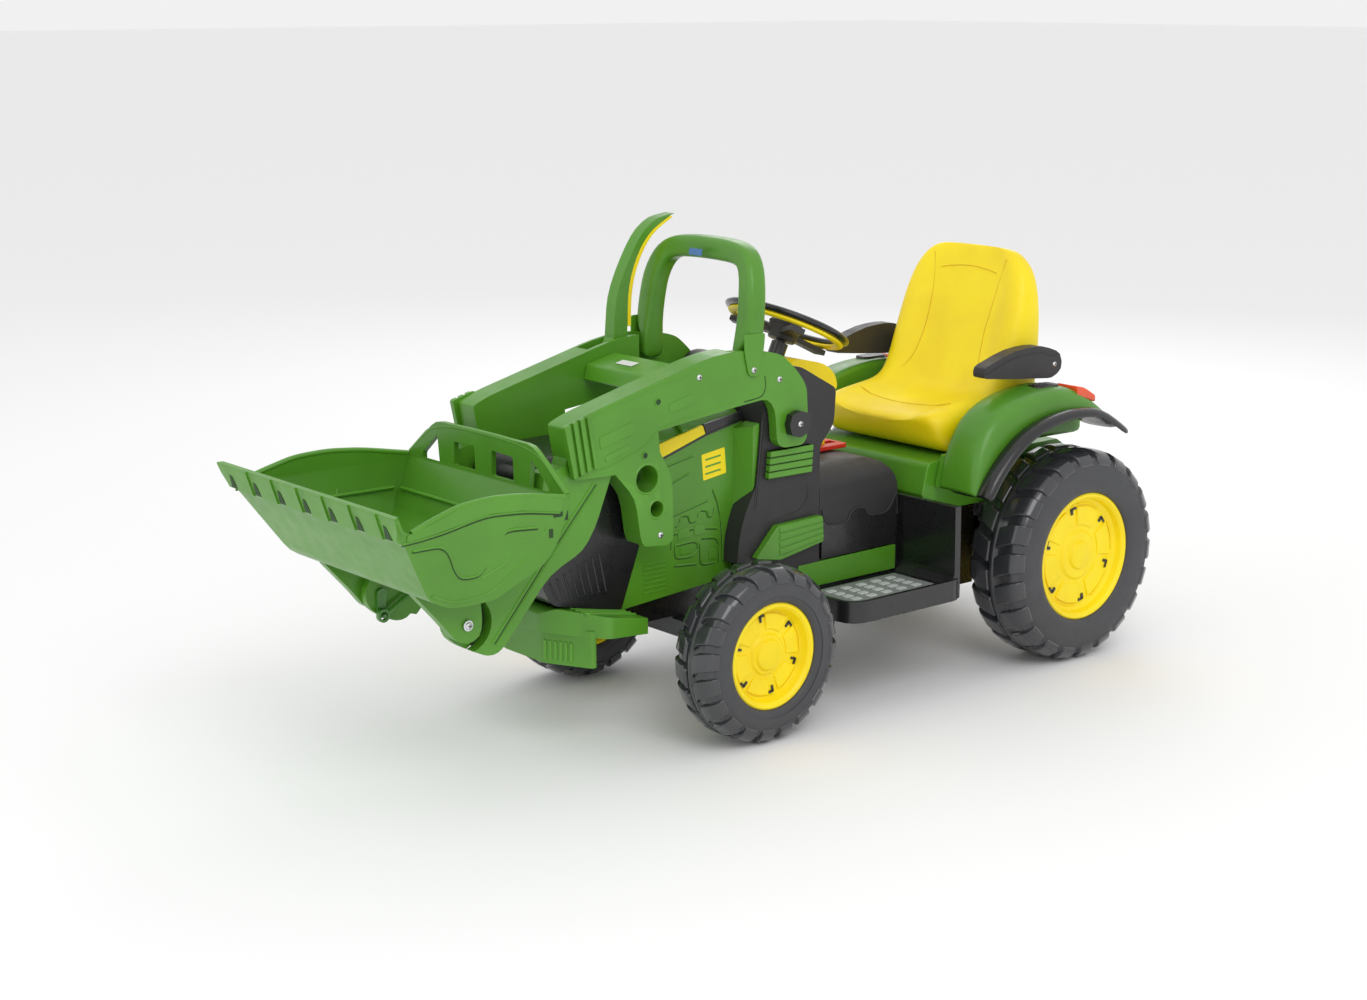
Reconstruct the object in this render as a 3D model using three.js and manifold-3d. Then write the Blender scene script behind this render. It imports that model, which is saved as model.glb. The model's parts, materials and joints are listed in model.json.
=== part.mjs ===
// A battery ride-on tractor with a front loader, in millimetres, +X forward, +Y left, +Z up.
// Inside the functions x is counted forward from the rear axle and z up from the ground.
// The finished group is moved back so that the middle of its length lies over the origin.
import * as THREE from 'three';
import { mergeVertices } from 'three/addons/utils/BufferGeometryUtils.js';
import Module from 'manifold-3d';

const wasm = await Module();
wasm.setup();

// ---- driving dimensions ----
const GAP = 0.3;
const SIDES = [['left', 1], ['right', -1]];

const REAR_WHEEL = { x: 0, radius: 195, inner: 173, width: 125, rim: 117, segments: 28 };
const FRONT_WHEEL = { x: 750, radius: 148, inner: 188, width: 99, rim: 89, segments: 24 };
const AXLE_RADIUS = 8;

const BODY_HALF = 120;
const COWL_HALF = 125;
const HOOD_HALF = 88;
const SEAT_BASE_HALF = 164;
const FENDER_INNER = 182;
const FENDER_OUTER = 262;
const FLAP_OUTER = 296;
const WALL = 5;

const KINGPIN_Y = 165;
const KINGPIN_RADIUS = 6;
const STEERING_ARM = 60;
const LINK_PIN_RADIUS = 3.5;
const TIE_ROD_X = FRONT_WHEEL.x - STEERING_ARM;
const STEER_TILT = 25.5 * Math.PI / 180;
const STEER_CENTRE = [474, 631];
const STEER_RADIUS = 114;
const SHAFT_LENGTH = 508;
const SHAFT_RADIUS = 8;
const COLUMN_RADIUS = 15;
const PITMAN_LENGTH = 27;

const GEAR_LEVER_X = 384;

const LIFT_PIVOT = [586, 492];
const LIFT_PIN_RADIUS = 10;
const BUCKET_PIN = [1248.5, 261];
const ARM_INNER = 100;
const ARM_OUTER = 146;
const HEEL_INNER = 128;
const LEG_INNER = 104;
const LEG_OUTER = 138;
const EAR_INNER = 119.3;
const EAR_OUTER = 137;
const EAR_CLEARANCE_RADIUS = 45;
const PIN_RADIUS = 5;

const LEVER_PIVOT = [772, 590];
const LEVER_FOOT = 85;
const LEVER_REST = 15.8 * Math.PI / 180;
const CRANK_LENGTH = 34.5;
const CRANK_REST = 275 * Math.PI / 180;
const CRANK_PLAY = 3.3;
const ROD_Y = -94;
const ROD_RADIUS = 3.5;

const BUCKET_REAR_HALF = 217;
const BUCKET_LIP_HALF = 241;
const LIP_TIP_HALF = 261;
const LIP_TIP_X = 1449;
const TOOTH_PITCH = 73.6;
const TOOTH_HALF = 23;
const ARMREST_PIVOT = [-7, 535];
const CENTRE_X = (LIP_TIP_X - REAR_WHEEL.radius) / 2;

const FINISHES = {
  green: [0x3f8f2e, 0.38, 0],
  yellow: [0xf6d800, 0.4, 0],
  charcoal: [0x3b393c, 0.5, 0],
  black: [0x1c1c1e, 0.4, 0],
  tyre: [0x3f4144, 0.55, 0],
  grey_mat: [0x7b827e, 0.6, 0],
  lamp: [0xd8421e, 0.25, 0],
  red: [0xb3261e, 0.45, 0],
  steel: [0xb9bcc0, 0.35, 1],
  dark_steel: [0x55585c, 0.45, 1],
};

const machine = new THREE.Group();

// ---- solids ----
function toSolid(geometry) {
  const bare = geometry.clone();
  bare.deleteAttribute('normal');
  bare.deleteAttribute('uv');
  const merged = mergeVertices(bare, 1e-3);
  const place = merged.attributes.position;
  const corners = [];
  let volume = 0;
  const [a, b, c] = [new THREE.Vector3(), new THREE.Vector3(), new THREE.Vector3()];
  for (let i = 0; i < merged.index.count; i += 3) {
    const [p, q, r] = [merged.index.getX(i), merged.index.getX(i + 1), merged.index.getX(i + 2)];
    if (p === q || q === r || r === p) {
      continue;
    }
    corners.push(p, q, r);
    a.fromBufferAttribute(place, p);
    b.fromBufferAttribute(place, q);
    c.fromBufferAttribute(place, r);
    volume += a.dot(b.cross(c));
  }
  if (volume < 0) {
    corners.reverse();
  }
  const vertProperties = new Float32Array(place.array);
  const triVerts = new Uint32Array(corners);
  return new wasm.Manifold(new wasm.Mesh({ numProp: 3, vertProperties, triVerts }));
}

function toGeometry(solid) {
  const mesh = solid.getMesh();
  const geometry = new THREE.BufferGeometry();
  geometry.setAttribute('position', new THREE.BufferAttribute(new Float32Array(mesh.vertProperties), 3));
  geometry.setIndex(new THREE.BufferAttribute(new Uint32Array(mesh.triVerts), 1));
  geometry.computeVertexNormals();
  return geometry;
}

function joined(...solids) {
  return solids.reduce((whole, next) => whole.add(next));
}

function piece(name, finish, solid) {
  const [color, roughness, metalness] = FINISHES[finish];
  const material = new THREE.MeshStandardMaterial({ color, roughness, metalness });
  const mesh = new THREE.Mesh(toGeometry(solid), material);
  mesh.name = name;
  machine.add(mesh);
}

// A closed outline whose corners are rounded by radius, or by a corner's own third number.
function outline(points, radius = 0) {
  const shape = new THREE.Shape();
  const count = points.length;
  const at = (i) => new THREE.Vector2(points[(i + count) % count][0], points[(i + count) % count][1]);
  for (let i = 0; i < count; i += 1) {
    const corner = at(i);
    const back = at(i - 1).sub(corner);
    const ahead = at(i + 1).sub(corner);
    const reach = Math.min(points[i][2] ?? radius, 0.48 * back.length(), 0.48 * ahead.length());
    const enter = corner.clone().addScaledVector(back.normalize(), reach);
    const leave = corner.clone().addScaledVector(ahead.normalize(), reach);
    if (i === 0) {
      shape.moveTo(enter.x, enter.y);
    } else {
      shape.lineTo(enter.x, enter.y);
    }
    if (reach > 0) {
      shape.quadraticCurveTo(corner.x, corner.y, leave.x, leave.y);
    }
  }
  shape.closePath();
  return shape;
}

function extruded(shape, depth, axes, start, curveSegments = 2) {
  const geometry = new THREE.ExtrudeGeometry(shape, { depth, bevelEnabled: false, curveSegments });
  const place = new THREE.Matrix4().makeBasis(...axes.map((axis) => new THREE.Vector3(...axis)));
  geometry.applyMatrix4(place);
  geometry.translate(...start);
  return toSolid(geometry);
}

// A side-view outline (x, z) given thickness from y0 to y1, in either order.
function sidePrism(points, y0, y1, radius) {
  const axes = [[1, 0, 0], [0, 0, 1], [0, -1, 0]];
  return extruded(outline(points, radius), Math.abs(y1 - y0), axes, [0, Math.max(y0, y1), 0]);
}

// A front-view outline (y, z) given thickness from x0 to x1.
function frontPrism(points, x0, x1, radius) {
  const axes = [[0, 1, 0], [0, 0, 1], [1, 0, 0]];
  return extruded(outline(points, radius), x1 - x0, axes, [x0, 0, 0]);
}

// A plan-view outline (x, y) given thickness from z0 to z1.
function planPrism(points, z0, z1, radius) {
  const axes = [[1, 0, 0], [0, 1, 0], [0, 0, 1]];
  return extruded(outline(points, radius), z1 - z0, axes, [0, 0, z0], 4);
}

function block(x, y, z) {
  const size = [x, y, z].map(([low, high]) => Math.abs(high - low));
  const geometry = new THREE.BoxGeometry(...size);
  geometry.translate(...[x, y, z].map(([low, high]) => (low + high) / 2));
  return toSolid(geometry);
}

function rod(from, to, radius, segments = 12) {
  const start = new THREE.Vector3(...from);
  const run = new THREE.Vector3(...to).sub(start);
  const geometry = new THREE.CylinderGeometry(radius, radius, run.length(), segments);
  const turn = new THREE.Quaternion().setFromUnitVectors(new THREE.Vector3(0, 1, 0),
    run.clone().normalize());
  geometry.applyQuaternion(turn);
  geometry.translate(...start.addScaledVector(run, 0.5));
  return toSolid(geometry);
}

// A rod along Y at the place (x, z) of the side view.
function crossRod([x, z], radius, y0, y1, segments = 12) {
  return rod([x, y0, z], [x, y1, z], radius, segments);
}

// A solid of revolution about a line along Y through (x, z). The profile holds [radius, y].
function turned([x, z], profile, segments) {
  const points = profile.map(([radius, y]) => new THREE.Vector2(radius, y));
  const geometry = new THREE.LatheGeometry(points, segments, Math.PI / segments);
  geometry.translate(x, 0, z);
  return toSolid(geometry);
}

// ---- wheels ----
function wheel(name, size, side) {
  const centre = [size.x, size.radius];
  const flat = 1 / Math.cos(Math.PI / size.segments);
  const outer = size.inner + size.width;
  const tread = size.radius * flat;
  const shoulder = (size.radius - 15) * flat;
  const sidewall = (size.radius - 45) * flat;
  const seat = size.rim * flat;
  const tyreProfile = [
    [seat, size.inner + 8], [sidewall, size.inner], [shoulder, size.inner + 4], [tread, size.inner + 17],
    [tread, outer - 17], [shoulder, outer - 4], [sidewall, outer], [seat, outer - 8],
    [seat, size.inner + 8],
  ];
  const bore = AXLE_RADIUS + GAP;
  const rimEdge = (size.rim - GAP) * flat;
  const rimProfile = [
    [0, outer - 22], [bore, outer - 22], [bore, size.inner + 6], [28, size.inner + 6], [28, outer - 40],
    [rimEdge, outer - 40], [rimEdge, outer - 9], [rimEdge - 6, outer - 7], [rimEdge - 18, outer - 27],
    [size.rim * 0.48, outer - 28], [size.rim * 0.34, outer - 15], [0, outer - 15],
  ];
  const sided = (profile) => profile.map(([radius, y]) => [radius, side * y]);
  piece(`${name}_tyre`, 'tyre', turned(centre, sided(tyreProfile), size.segments));
  piece(`${name}_rim`, 'yellow', turned(centre, sided(rimProfile), size.segments));
}

// ---- chassis and running gear ----
function chassisTub() {
  const front = block([112, 505], [-BODY_HALF, BODY_HALF], [132, 290]);
  const hollow = block([118, 499], [-BODY_HALF + 6, BODY_HALF - 6], [140, 300]);
  const rear = block([-95, 113], [-58, 58], [150, 262]);
  const spine = block([504, 893], [-50, 50], [170, 226]);
  const shaftSlot = block([650, 722], [-20, 20], [160, 240]);
  const axleHole = crossRod([0, REAR_WHEEL.radius], AXLE_RADIUS + GAP, -70, 70);
  return front.subtract(hollow).add(rear).add(spine).subtract(shaftSlot).subtract(axleHole);
}

function gearMotor(side) {
  const box = sidePrism([[-52, 160], [70, 160], [84, 215], [60, 250], [-30, 250], [-52, 220]],
    side * 118, side * 168, 8);
  const can = crossRod([46, 214], 24, side * 62, side * 120, 20);
  const bore = crossRod([0, REAR_WHEEL.radius], AXLE_RADIUS + GAP, side * 110, side * 172);
  return joined(box, can).subtract(bore);
}

function frontAxle() {
  const beam = block([735, 765], [-149, 149], [134, 163]);
  const clamps = SIDES.map(([, side]) => {
    const web = block([735, 765], [side * 140, side * 149], [118, 178]);
    const lower = block([737, 763], [side * 148, side * 178], [118, 129]);
    const upper = block([737, 763], [side * 148, side * 178], [167, 178]);
    const hole = rod([FRONT_WHEEL.x, side * KINGPIN_Y, 110], [FRONT_WHEEL.x, side * KINGPIN_Y, 190],
      KINGPIN_RADIUS + GAP);
    return joined(web, lower, upper).subtract(hole);
  });
  return joined(beam, ...clamps, block([735, 765], [-40, 40], [160, 169.7]));
}

function knuckle(side) {
  const y = side * KINGPIN_Y;
  const carrier = block([739, 761], [y - 11, y + 11], [130, 166]);
  const kingpin = rod([FRONT_WHEEL.x, y, 117], [FRONT_WHEEL.x, y, 179], KINGPIN_RADIUS);
  const stub = crossRod([FRONT_WHEEL.x, FRONT_WHEEL.radius], AXLE_RADIUS, side * 170,
    side * (FRONT_WHEEL.inner + FRONT_WHEEL.width - 23));
  const arm = block([TIE_ROD_X - 8, 745], [y - 8, y + 8], [159, 166]);
  const pin = rod([TIE_ROD_X, y, 148], [TIE_ROD_X, y, 160], LINK_PIN_RADIUS);
  return joined(carrier, kingpin, stub, arm, pin);
}

// The steering shaft's arm works the middle eye and the knuckle arms work the two end eyes.
function tieRod() {
  const bar = rod([TIE_ROD_X, -152, 154], [TIE_ROD_X, 152, 154], 4);
  const ends = SIDES.map(([, side]) => {
    const eye = block([TIE_ROD_X - 12, TIE_ROD_X + 12], [side * 150, side * 178], [150, 158]);
    const slot = block([TIE_ROD_X - 6.5, TIE_ROD_X + 6.5], [side * 159, side * 171], [145, 165]);
    return eye.subtract(slot);
  });
  const pinX = pitmanEnd()[0];
  const middle = block([pinX - 13, TIE_ROD_X + 3], [-11, 11], [150, 158]);
  const slot = block([pinX - 8, pinX + 13], [-7, 7], [145, 165]);
  return joined(bar, ...ends, middle.subtract(slot));
}

function onSteeringAxis(along) {
  return [STEER_CENTRE[0] - Math.sin(STEER_TILT) * along, 0,
    STEER_CENTRE[1] + Math.cos(STEER_TILT) * along];
}

// The free end of the short arm at the foot of the steering shaft.
function pitmanEnd() {
  const [x, y, z] = onSteeringAxis(-SHAFT_LENGTH);
  return [x - Math.cos(STEER_TILT) * PITMAN_LENGTH, y, z - Math.sin(STEER_TILT) * PITMAN_LENGTH];
}

function tiltedToSteering(geometry) {
  geometry.rotateY(-STEER_TILT);
  geometry.translate(...onSteeringAxis(0));
  return toSolid(geometry);
}

function steeringRim(radius, thickness, lift, ringSegments, sides) {
  const geometry = new THREE.TorusGeometry(radius, thickness, sides, ringSegments);
  geometry.scale(1, 1, 0.9);
  geometry.translate(0, 0, lift);
  return tiltedToSteering(geometry);
}

function steeringHub() {
  const hub = new THREE.CylinderGeometry(30, 24, 26, 24);
  hub.rotateX(Math.PI / 2);
  hub.translate(0, 0, -16);
  const spokes = [90, 210, 330].map((degrees) => {
    const spoke = new THREE.BoxGeometry(STEER_RADIUS - 24, 26, 9);
    spoke.translate((STEER_RADIUS - 24) / 2 + 8, 0, -17);
    spoke.rotateZ((degrees + 90) * Math.PI / 180);
    return tiltedToSteering(spoke);
  });
  const shaft = rod(onSteeringAxis(-20), onSteeringAxis(-SHAFT_LENGTH), SHAFT_RADIUS);
  const end = pitmanEnd();
  const pitman = rod(onSteeringAxis(4 - SHAFT_LENGTH), end, 4);
  const pin = rod([end[0], 0, end[2] + 2], [end[0], 0, 148], LINK_PIN_RADIUS);
  return joined(tiltedToSteering(hub), ...spokes, shaft, pitman, pin);
}

function steeringColumn() {
  const tube = rod(onSteeringAxis(-34), onSteeringAxis(-420), COLUMN_RADIUS, 20);
  return tube.subtract(rod(onSteeringAxis(-30), onSteeringAxis(-430), SHAFT_RADIUS + GAP));
}

function columnHole() {
  return rod(onSteeringAxis(-30), onSteeringAxis(-430), COLUMN_RADIUS + GAP, 20);
}

// ---- body mouldings ----
const COWL_SIDE = [
  [508, 294], [508, 440, 10], [476, 474, 12], [472, 536, 8], [556, 582, 10], [585, 584, 12],
  [634, 548, 10], [640, 519], [664, 262], [560, 262],
];

// The cowl's cheeks reach forward beside the hood, and its skirts hang beside the chassis.
const CHEEK = [[646, 262], [694, 262], [691, 305, 20], [676, 350, 20], [652, 392], [646, 392]];
const SKIRT = [[506, 201], [690, 201], [694, 262], [694, 270], [508, 300]];

function cowlFlank(side) {
  const cheek = sidePrism(CHEEK, side * (HOOD_HALF + GAP), side * COWL_HALF);
  return cheek.add(sidePrism(SKIRT, side * (BODY_HALF + GAP), side * COWL_HALF));
}

function cowl() {
  const shell = sidePrism(COWL_SIDE, -COWL_HALF, COWL_HALF);
  const inner = [
    [514, 250], [514, 442], [483, 478], [479, 532], [558, 575], [584, 577], [628, 545], [634, 519],
    [657, 250],
  ];
  const hollow = sidePrism(inner, -COWL_HALF + WALL, COWL_HALF - WALL);
  const pivotHole = crossRod(LIFT_PIVOT, LIFT_PIN_RADIUS + GAP, -COWL_HALF - 5, COWL_HALF + 5, 20);
  const flanks = SIDES.map(([, side]) => cowlFlank(side));
  return joined(shell.subtract(hollow), ...flanks).subtract(columnHole()).subtract(pivotHole);
}

function cowlInsert(side) {
  return sidePrism([[509, 275], [512, 321], [616, 318], [664, 268], [609, 258]],
    side * (COWL_HALF + GAP), side * (COWL_HALF + 14), 4);
}

// The rounded hump that closes the rear upper corner of the cowl.
function dashConsole() {
  const side = [[408, 522, 6], [414, 546, 14], [440, 567, 20], [496, 580, 14], [534, 572], [560, 400]];
  const hump = sidePrism(side, -62, 62, 4);
  const cowlRoom = sidePrism([[471, 380], [471.4, 536.6], [556, 582.8], [640, 584.6], [640, 380]], -70, 70);
  const underside = block([400, 480], [-70, 70], [380, 512]);
  return hump.subtract(cowlRoom).subtract(underside).subtract(columnHole());
}

function tunnelCover() {
  const side = [[314, 292], [319, 354, 8], [343, 392, 20], [382, 400, 10], [507, 402], [507, 292]];
  const shell = sidePrism(side, -COWL_HALF, COWL_HALF);
  const hollow = sidePrism([[321, 280], [326, 354], [348, 386], [384, 393], [500, 395], [500, 280]],
    -COWL_HALF + WALL, COWL_HALF - WALL);
  const section = (half, top) => frontPrism([
    [-half, 270], [half, 270], [half, top - 28, 10], [half - 30, top, 20], [30 - half, top, 20],
    [-half, top - 28, 10],
  ], 300, 520);
  const space = hollow.intersect(section(COWL_HALF - WALL, 395));
  const cover = shell.intersect(section(COWL_HALF, 402)).subtract(space);
  const leverHole = block([GEAR_LEVER_X - 30, GEAR_LEVER_X + 30], [-14, 14], [370, 410]);
  return cover.subtract(leverHole);
}

function gearLever() {
  const top = GEAR_LEVER_X + 6;
  const stalk = rod([GEAR_LEVER_X, 0, 375], [top, 0, 448], 6);
  const knob = rod([top + 1, -17, 456], [top + 1, 17, 456], 16, 16);
  return joined(stalk, knob);
}

function leverBoot() {
  const rear = GEAR_LEVER_X - 34;
  const front = GEAR_LEVER_X + 40;
  const plate = planPrism([[rear, -30], [front, -30], [front, 30], [rear, 30]], 402 + GAP, 410, 8);
  return plate.subtract(block([GEAR_LEVER_X - 26, GEAR_LEVER_X + 28], [-9, 9], [390, 420]));
}

const HOOD_FRONT = [[905, 486, 4], [929, 434], [874, 315], [912, 214]];

function noseSection(half, low, high) {
  return [[-half, low], [half, low], [half, high - 22, 16], [half - 34, high, 16], [34 - half, high, 16],
    [-half, high - 22, 16]];
}

function hood() {
  const side = [[676, 232], [648, 518, 6], [760, 512, 60], ...HOOD_FRONT];
  const skin = sidePrism(side, -HOOD_HALF, HOOD_HALF).intersect(roofTaper(0));
  const inner = [[640, 220], [640, 509], [760, 504], [898, 478], [921, 434], [866, 315], [905, 205]];
  const hollow = sidePrism(inner, -HOOD_HALF + WALL, HOOD_HALF - WALL).intersect(roofTaper(-WALL));
  const shoulders = SIDES.map(([, side]) => hoodShoulder(side));
  return joined(skin.subtract(hollow), ...shoulders);
}

// A flare at the rear of the hood's side that meets the wider cowl.
function hoodShoulder(side) {
  const flare = planPrism([[646, side * (HOOD_HALF - 2)], [674, side * (HOOD_HALF - 2)], [658, side * 121],
    [644, side * 121]], 300, 500);
  const profile = sidePrism([[630, 300], [690, 300], [690, 480], [630, 500]], -130, 130);
  const cowlRoom = [[600, 200], [704, 200], [694 + GAP, 262], [691 + GAP, 305, 20], [676 + GAP, 351, 20],
    [652 + GAP, 393], [640 + GAP + 0.3, 519], [600, 540]];
  const inside = block([600, 720], [-HOOD_HALF + 1, HOOD_HALF - 1], [200, 540]);
  const clear = flare.intersect(profile).subtract(inside);
  return clear.subtract(sidePrism(cowlRoom, side * (HOOD_HALF - 5), side * 130));
}

// The hood and nose share a roof whose edges are bevelled.
function roofTaper(inset) {
  const half = HOOD_HALF + inset;
  const section = (top) => noseSection(half, 180, top + inset);
  const rear = frontPrism(section(519), 630, 780, 10);
  const middle = frontPrism(section(508), 760, 880, 10);
  const front = frontPrism(section(494), 860, 1100, 10);
  return joined(rear, middle, front);
}

function nose() {
  const seam = HOOD_FRONT.map(([x, z]) => [x + GAP + 0.3, z]);
  const side = [...seam, [1048, 244, 10], [1070, 272, 16], [1080, 440, 20], [1064, 482, 18]];
  const body = sidePrism(side, -HOOD_HALF, HOOD_HALF).intersect(roofTaper(0));
  return body.subtract(block([880, 1040], [-HOOD_HALF + 8, HOOD_HALF - 8], [200, 300]));
}

function frontBumper() {
  const plan = [[905, -148], [985, -148, 10], [1030, -100, 16], [1052, -60, 16], [1052, 60, 16],
    [1030, 100, 16], [985, 148, 10], [905, 148]];
  const shelf = sidePrism([[905, 212], [1040, 238, 6], [1052, 228, 6], [1052, 196], [905, 186]], -150, 150);
  const weights = planPrism([[998, -132], [1006, -132, 4], [1046, -55, 10], [1046, 55, 10], [1006, 132, 4],
    [998, 132]], 143, 204);
  const keel = block([893 + GAP, 1010], [-60, 60], [168, 205]);
  return joined(shelf.intersect(planPrism(plan, 180, 250)), weights, keel);
}

function footboard(side) {
  const inner = side * (BODY_HALF + GAP);
  const outer = side * 270;
  const edge = side * 262;
  const board = [[300, inner], [300, outer, 24], [566, outer, 40], [566, inner]];
  const well = [[290, inner], [290, edge], [558, edge, 34], [558, inner]];
  const floor = planPrism(board, 163, 190);
  const lip = planPrism(board, 189, 200).subtract(planPrism(well, 180, 210));
  const riserSide = [[298, 163], [308, 163], [309, 188], [326, 188], [312, 206, 6], [314, 328], [300, 328]];
  const riser = sidePrism(riserSide, inner, edge, 3);
  const underside = block([316, 540], [inner + side * 10, side * 256], [155, 182]);
  return joined(floor, lip, riser).subtract(underside);
}

function footMat(side) {
  return planPrism([[345, side * 148], [552, side * 148], [552, side * 254, 24], [345, side * 254]],
    190 + GAP, 194, 3);
}

function pedal() {
  const y0 = -150;
  const y1 = -215;
  const plate = sidePrism([[478, 198], [482, 205], [546, 228], [548, 220]], y0, y1, 2);
  const rib = sidePrism([[500, 200], [520, 210], [530, 215], [530, 208]], -178, -187);
  const hinge = crossRod([480, 201], 5, y0, y1, 12);
  return joined(plate, rib, hinge);
}

function pedalBracket() {
  const ears = [[-144, -149.5], [-215.5, -221]].map(([low, high]) => {
    return sidePrism([[470, 194 + GAP], [492, 194 + GAP], [488, 210, 5], [474, 210, 5]], low, high);
  });
  const bridge = block([470, 474], [-221, -144], [194 + GAP, 197]);
  return joined(...ears, bridge);
}

function seatBase() {
  const side = [[-98, 266], [-84, 372, 16], [-60, 386], [282, 386, 12], [296, 330], [284, 296], [112, 294],
    [100, 266]];
  const shell = sidePrism(side, -SEAT_BASE_HALF, SEAT_BASE_HALF);
  const inner = [[-90, 250], [-77, 366], [-60, 379], [278, 379], [289, 330], [276, 250]];
  const hollow = sidePrism(inner, -SEAT_BASE_HALF + WALL, SEAT_BASE_HALF - WALL);
  return shell.subtract(hollow);
}

function seat() {
  const side = [
    [212, 387, 8], [258, 436, 16], [252, 462, 12], [190, 474, 30], [116, 483, 40], [78, 522, 30],
    [34, 640, 40],
    [10, 735, 14], [-12, 738, 10], [-24, 712, 20], [-20, 560, 30], [-8, 440, 20], [24, 387, 10],
  ];
  const width = [[-157, 380], [157, 380], [164, 450, 20], [160, 560, 40], [156, 650, 50], [128, 712, 40],
    [84, 740, 30], [-84, 740, 30], [-128, 712, 40], [-156, 650, 50], [-160, 560, 40], [-164, 450, 20]];
  const body = sidePrism(side, -180, 180).intersect(frontPrism(width, -40, 270));
  const pivotHoles = crossRod(ARMREST_PIVOT, 6 + GAP, -185, -145).add(crossRod(ARMREST_PIVOT, 6 + GAP,
    145, 185));
  const back = sidePrism([[14, 380], [6, 470], [0, 560], [4, 640], [-10, 704], [-60, 704],
    [-60, 380]], -140, 140);
  return body.subtract(back).subtract(pivotHoles);
}

function armrest(side) {
  const arm = sidePrism([[188, 530, 8], [186, 549, 8], [108, 573, 30], [37, 575, 20], [-16, 557, 16],
    [-20, 526, 12], [7, 512, 10], [119, 522, 30]], side * 176, side * 203);
  const stub = crossRod(ARMREST_PIVOT, 6, side * 150, side * 180);
  const boss = crossRod(ARMREST_PIVOT, 13, side * (165 + GAP + 0.3), side * 178, 16);
  return joined(arm, stub, boss);
}

const ARCH = [[264, 334], [222, 384, 20], [150, 438, 40], [60, 462, 40], [-20, 458, 30], [-104, 414]];

function fender(side) {
  const top = [[-104, 428, 6], [-76, 452, 8], [-52, 468], [0, 485], [0, 502], [26, 506, 8], [100, 504, 30],
    [152, 496, 24], [219, 470, 24], [252, 414, 16], [269, 342, 4], [268, 333]];
  const body = sidePrism([...ARCH, ...top], side * FENDER_INNER, side * FENDER_OUTER);
  const inner = block([-120, 320], [side * (FENDER_INNER - 10), side * 205], [498, 540]);
  const hollow = sidePrism([[250, 300], [238, 398], [204, 454], [130, 488], [40, 484], [-12, 462],
    [-60, 400]],
    side * (FENDER_INNER + 6), side * (FENDER_OUTER - 6), 10);
  const flange = sidePrism([[262, 340], [266, 340], [253, 395], [218, 395], [218, 392]],
    side * (SEAT_BASE_HALF + GAP), side * (FENDER_INNER + 8));
  const wall = sidePrism([[256, 390], [244, 425], [218, 455], [150, 485], [60, 492], [-10, 480], [-60, 450],
    [-60, 398], [200, 398], [216, 391]], side * FENDER_INNER, side * (FENDER_INNER + 4 - GAP));
  return joined(body.subtract(inner).subtract(hollow), flange, wall);
}

function mudFlap(side) {
  const upper = ARCH.map(([x, z, round]) => [x, z - 0.6, round]);
  const lower = ARCH.map(([x, z, round]) => [x * 0.965 - 2, z - 13, round]).reverse();
  const inner = side * (FENDER_INNER + 4);
  const band = sidePrism([...upper, ...lower], inner, side * FLAP_OUTER);
  const skirt = sidePrism([[264, 333], [302, 347], [225, 408, 20], [151, 451, 40], [60, 466, 40],
    [-20, 462, 30],
    [-104, 421], [-104, 404], [-20, 446, 30], [58, 450, 40], [146, 427, 40], [214, 376, 20], [250, 330]],
  side * (FENDER_OUTER + GAP), side * FLAP_OUTER);
  return joined(band, skirt);
}

function tailLight(side) {
  return sidePrism([[-1, 486], [-1, 503, 4], [-20, 500, 10], [-52, 482, 4], [-52, 469]],
    side * 205, side * 258);
}

// ---- loader ----
const PIVOT_END = [
  [724, 534], [648, 541, 14], [631, 520, 14], [626, 462, 8], [612, 453, 8], [568, 453, 8], [558, 464, 8],
  [557, 500, 10], [560, 549, 10], [570, 566, 10], [592, 590, 10], [616, 610, 10], [643, 618, 10],
  [700, 625, 20],
  [724, 626],
];
const UPPER_ARM = [
  [1050, 458, 6], [1066, 543, 6], [1034, 556, 20], [790, 619, 30], [740, 626, 20], [700, 625],
  [700, 537], [881, 515],
  [877, 473], [969, 456],
];
const HOLES_PLATE = [
  [877, 480], [852, 436, 20], [850, 334, 10], [860, 326, 8], [912, 331, 10], [918, 346, 8], [928, 412, 20],
  [969, 457], [1000, 470], [900, 500],
];
const LEG = [
  [969, 457], [1003, 374, 20], [1028, 341, 16], [1092, 314, 24], [1178, 218, 20], [1192, 206, 10],
  [1212, 205, 10],
  [1246, 221, 8], [1270, 238, 12], [1279, 261, 14], [1270, 286, 12], [1246, 302, 4], [1208, 304, 12],
  [1148, 344, 10],
  [1106, 440, 10], [1100, 474, 6], [1062, 480], [1040, 530], [990, 500],
];

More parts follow.
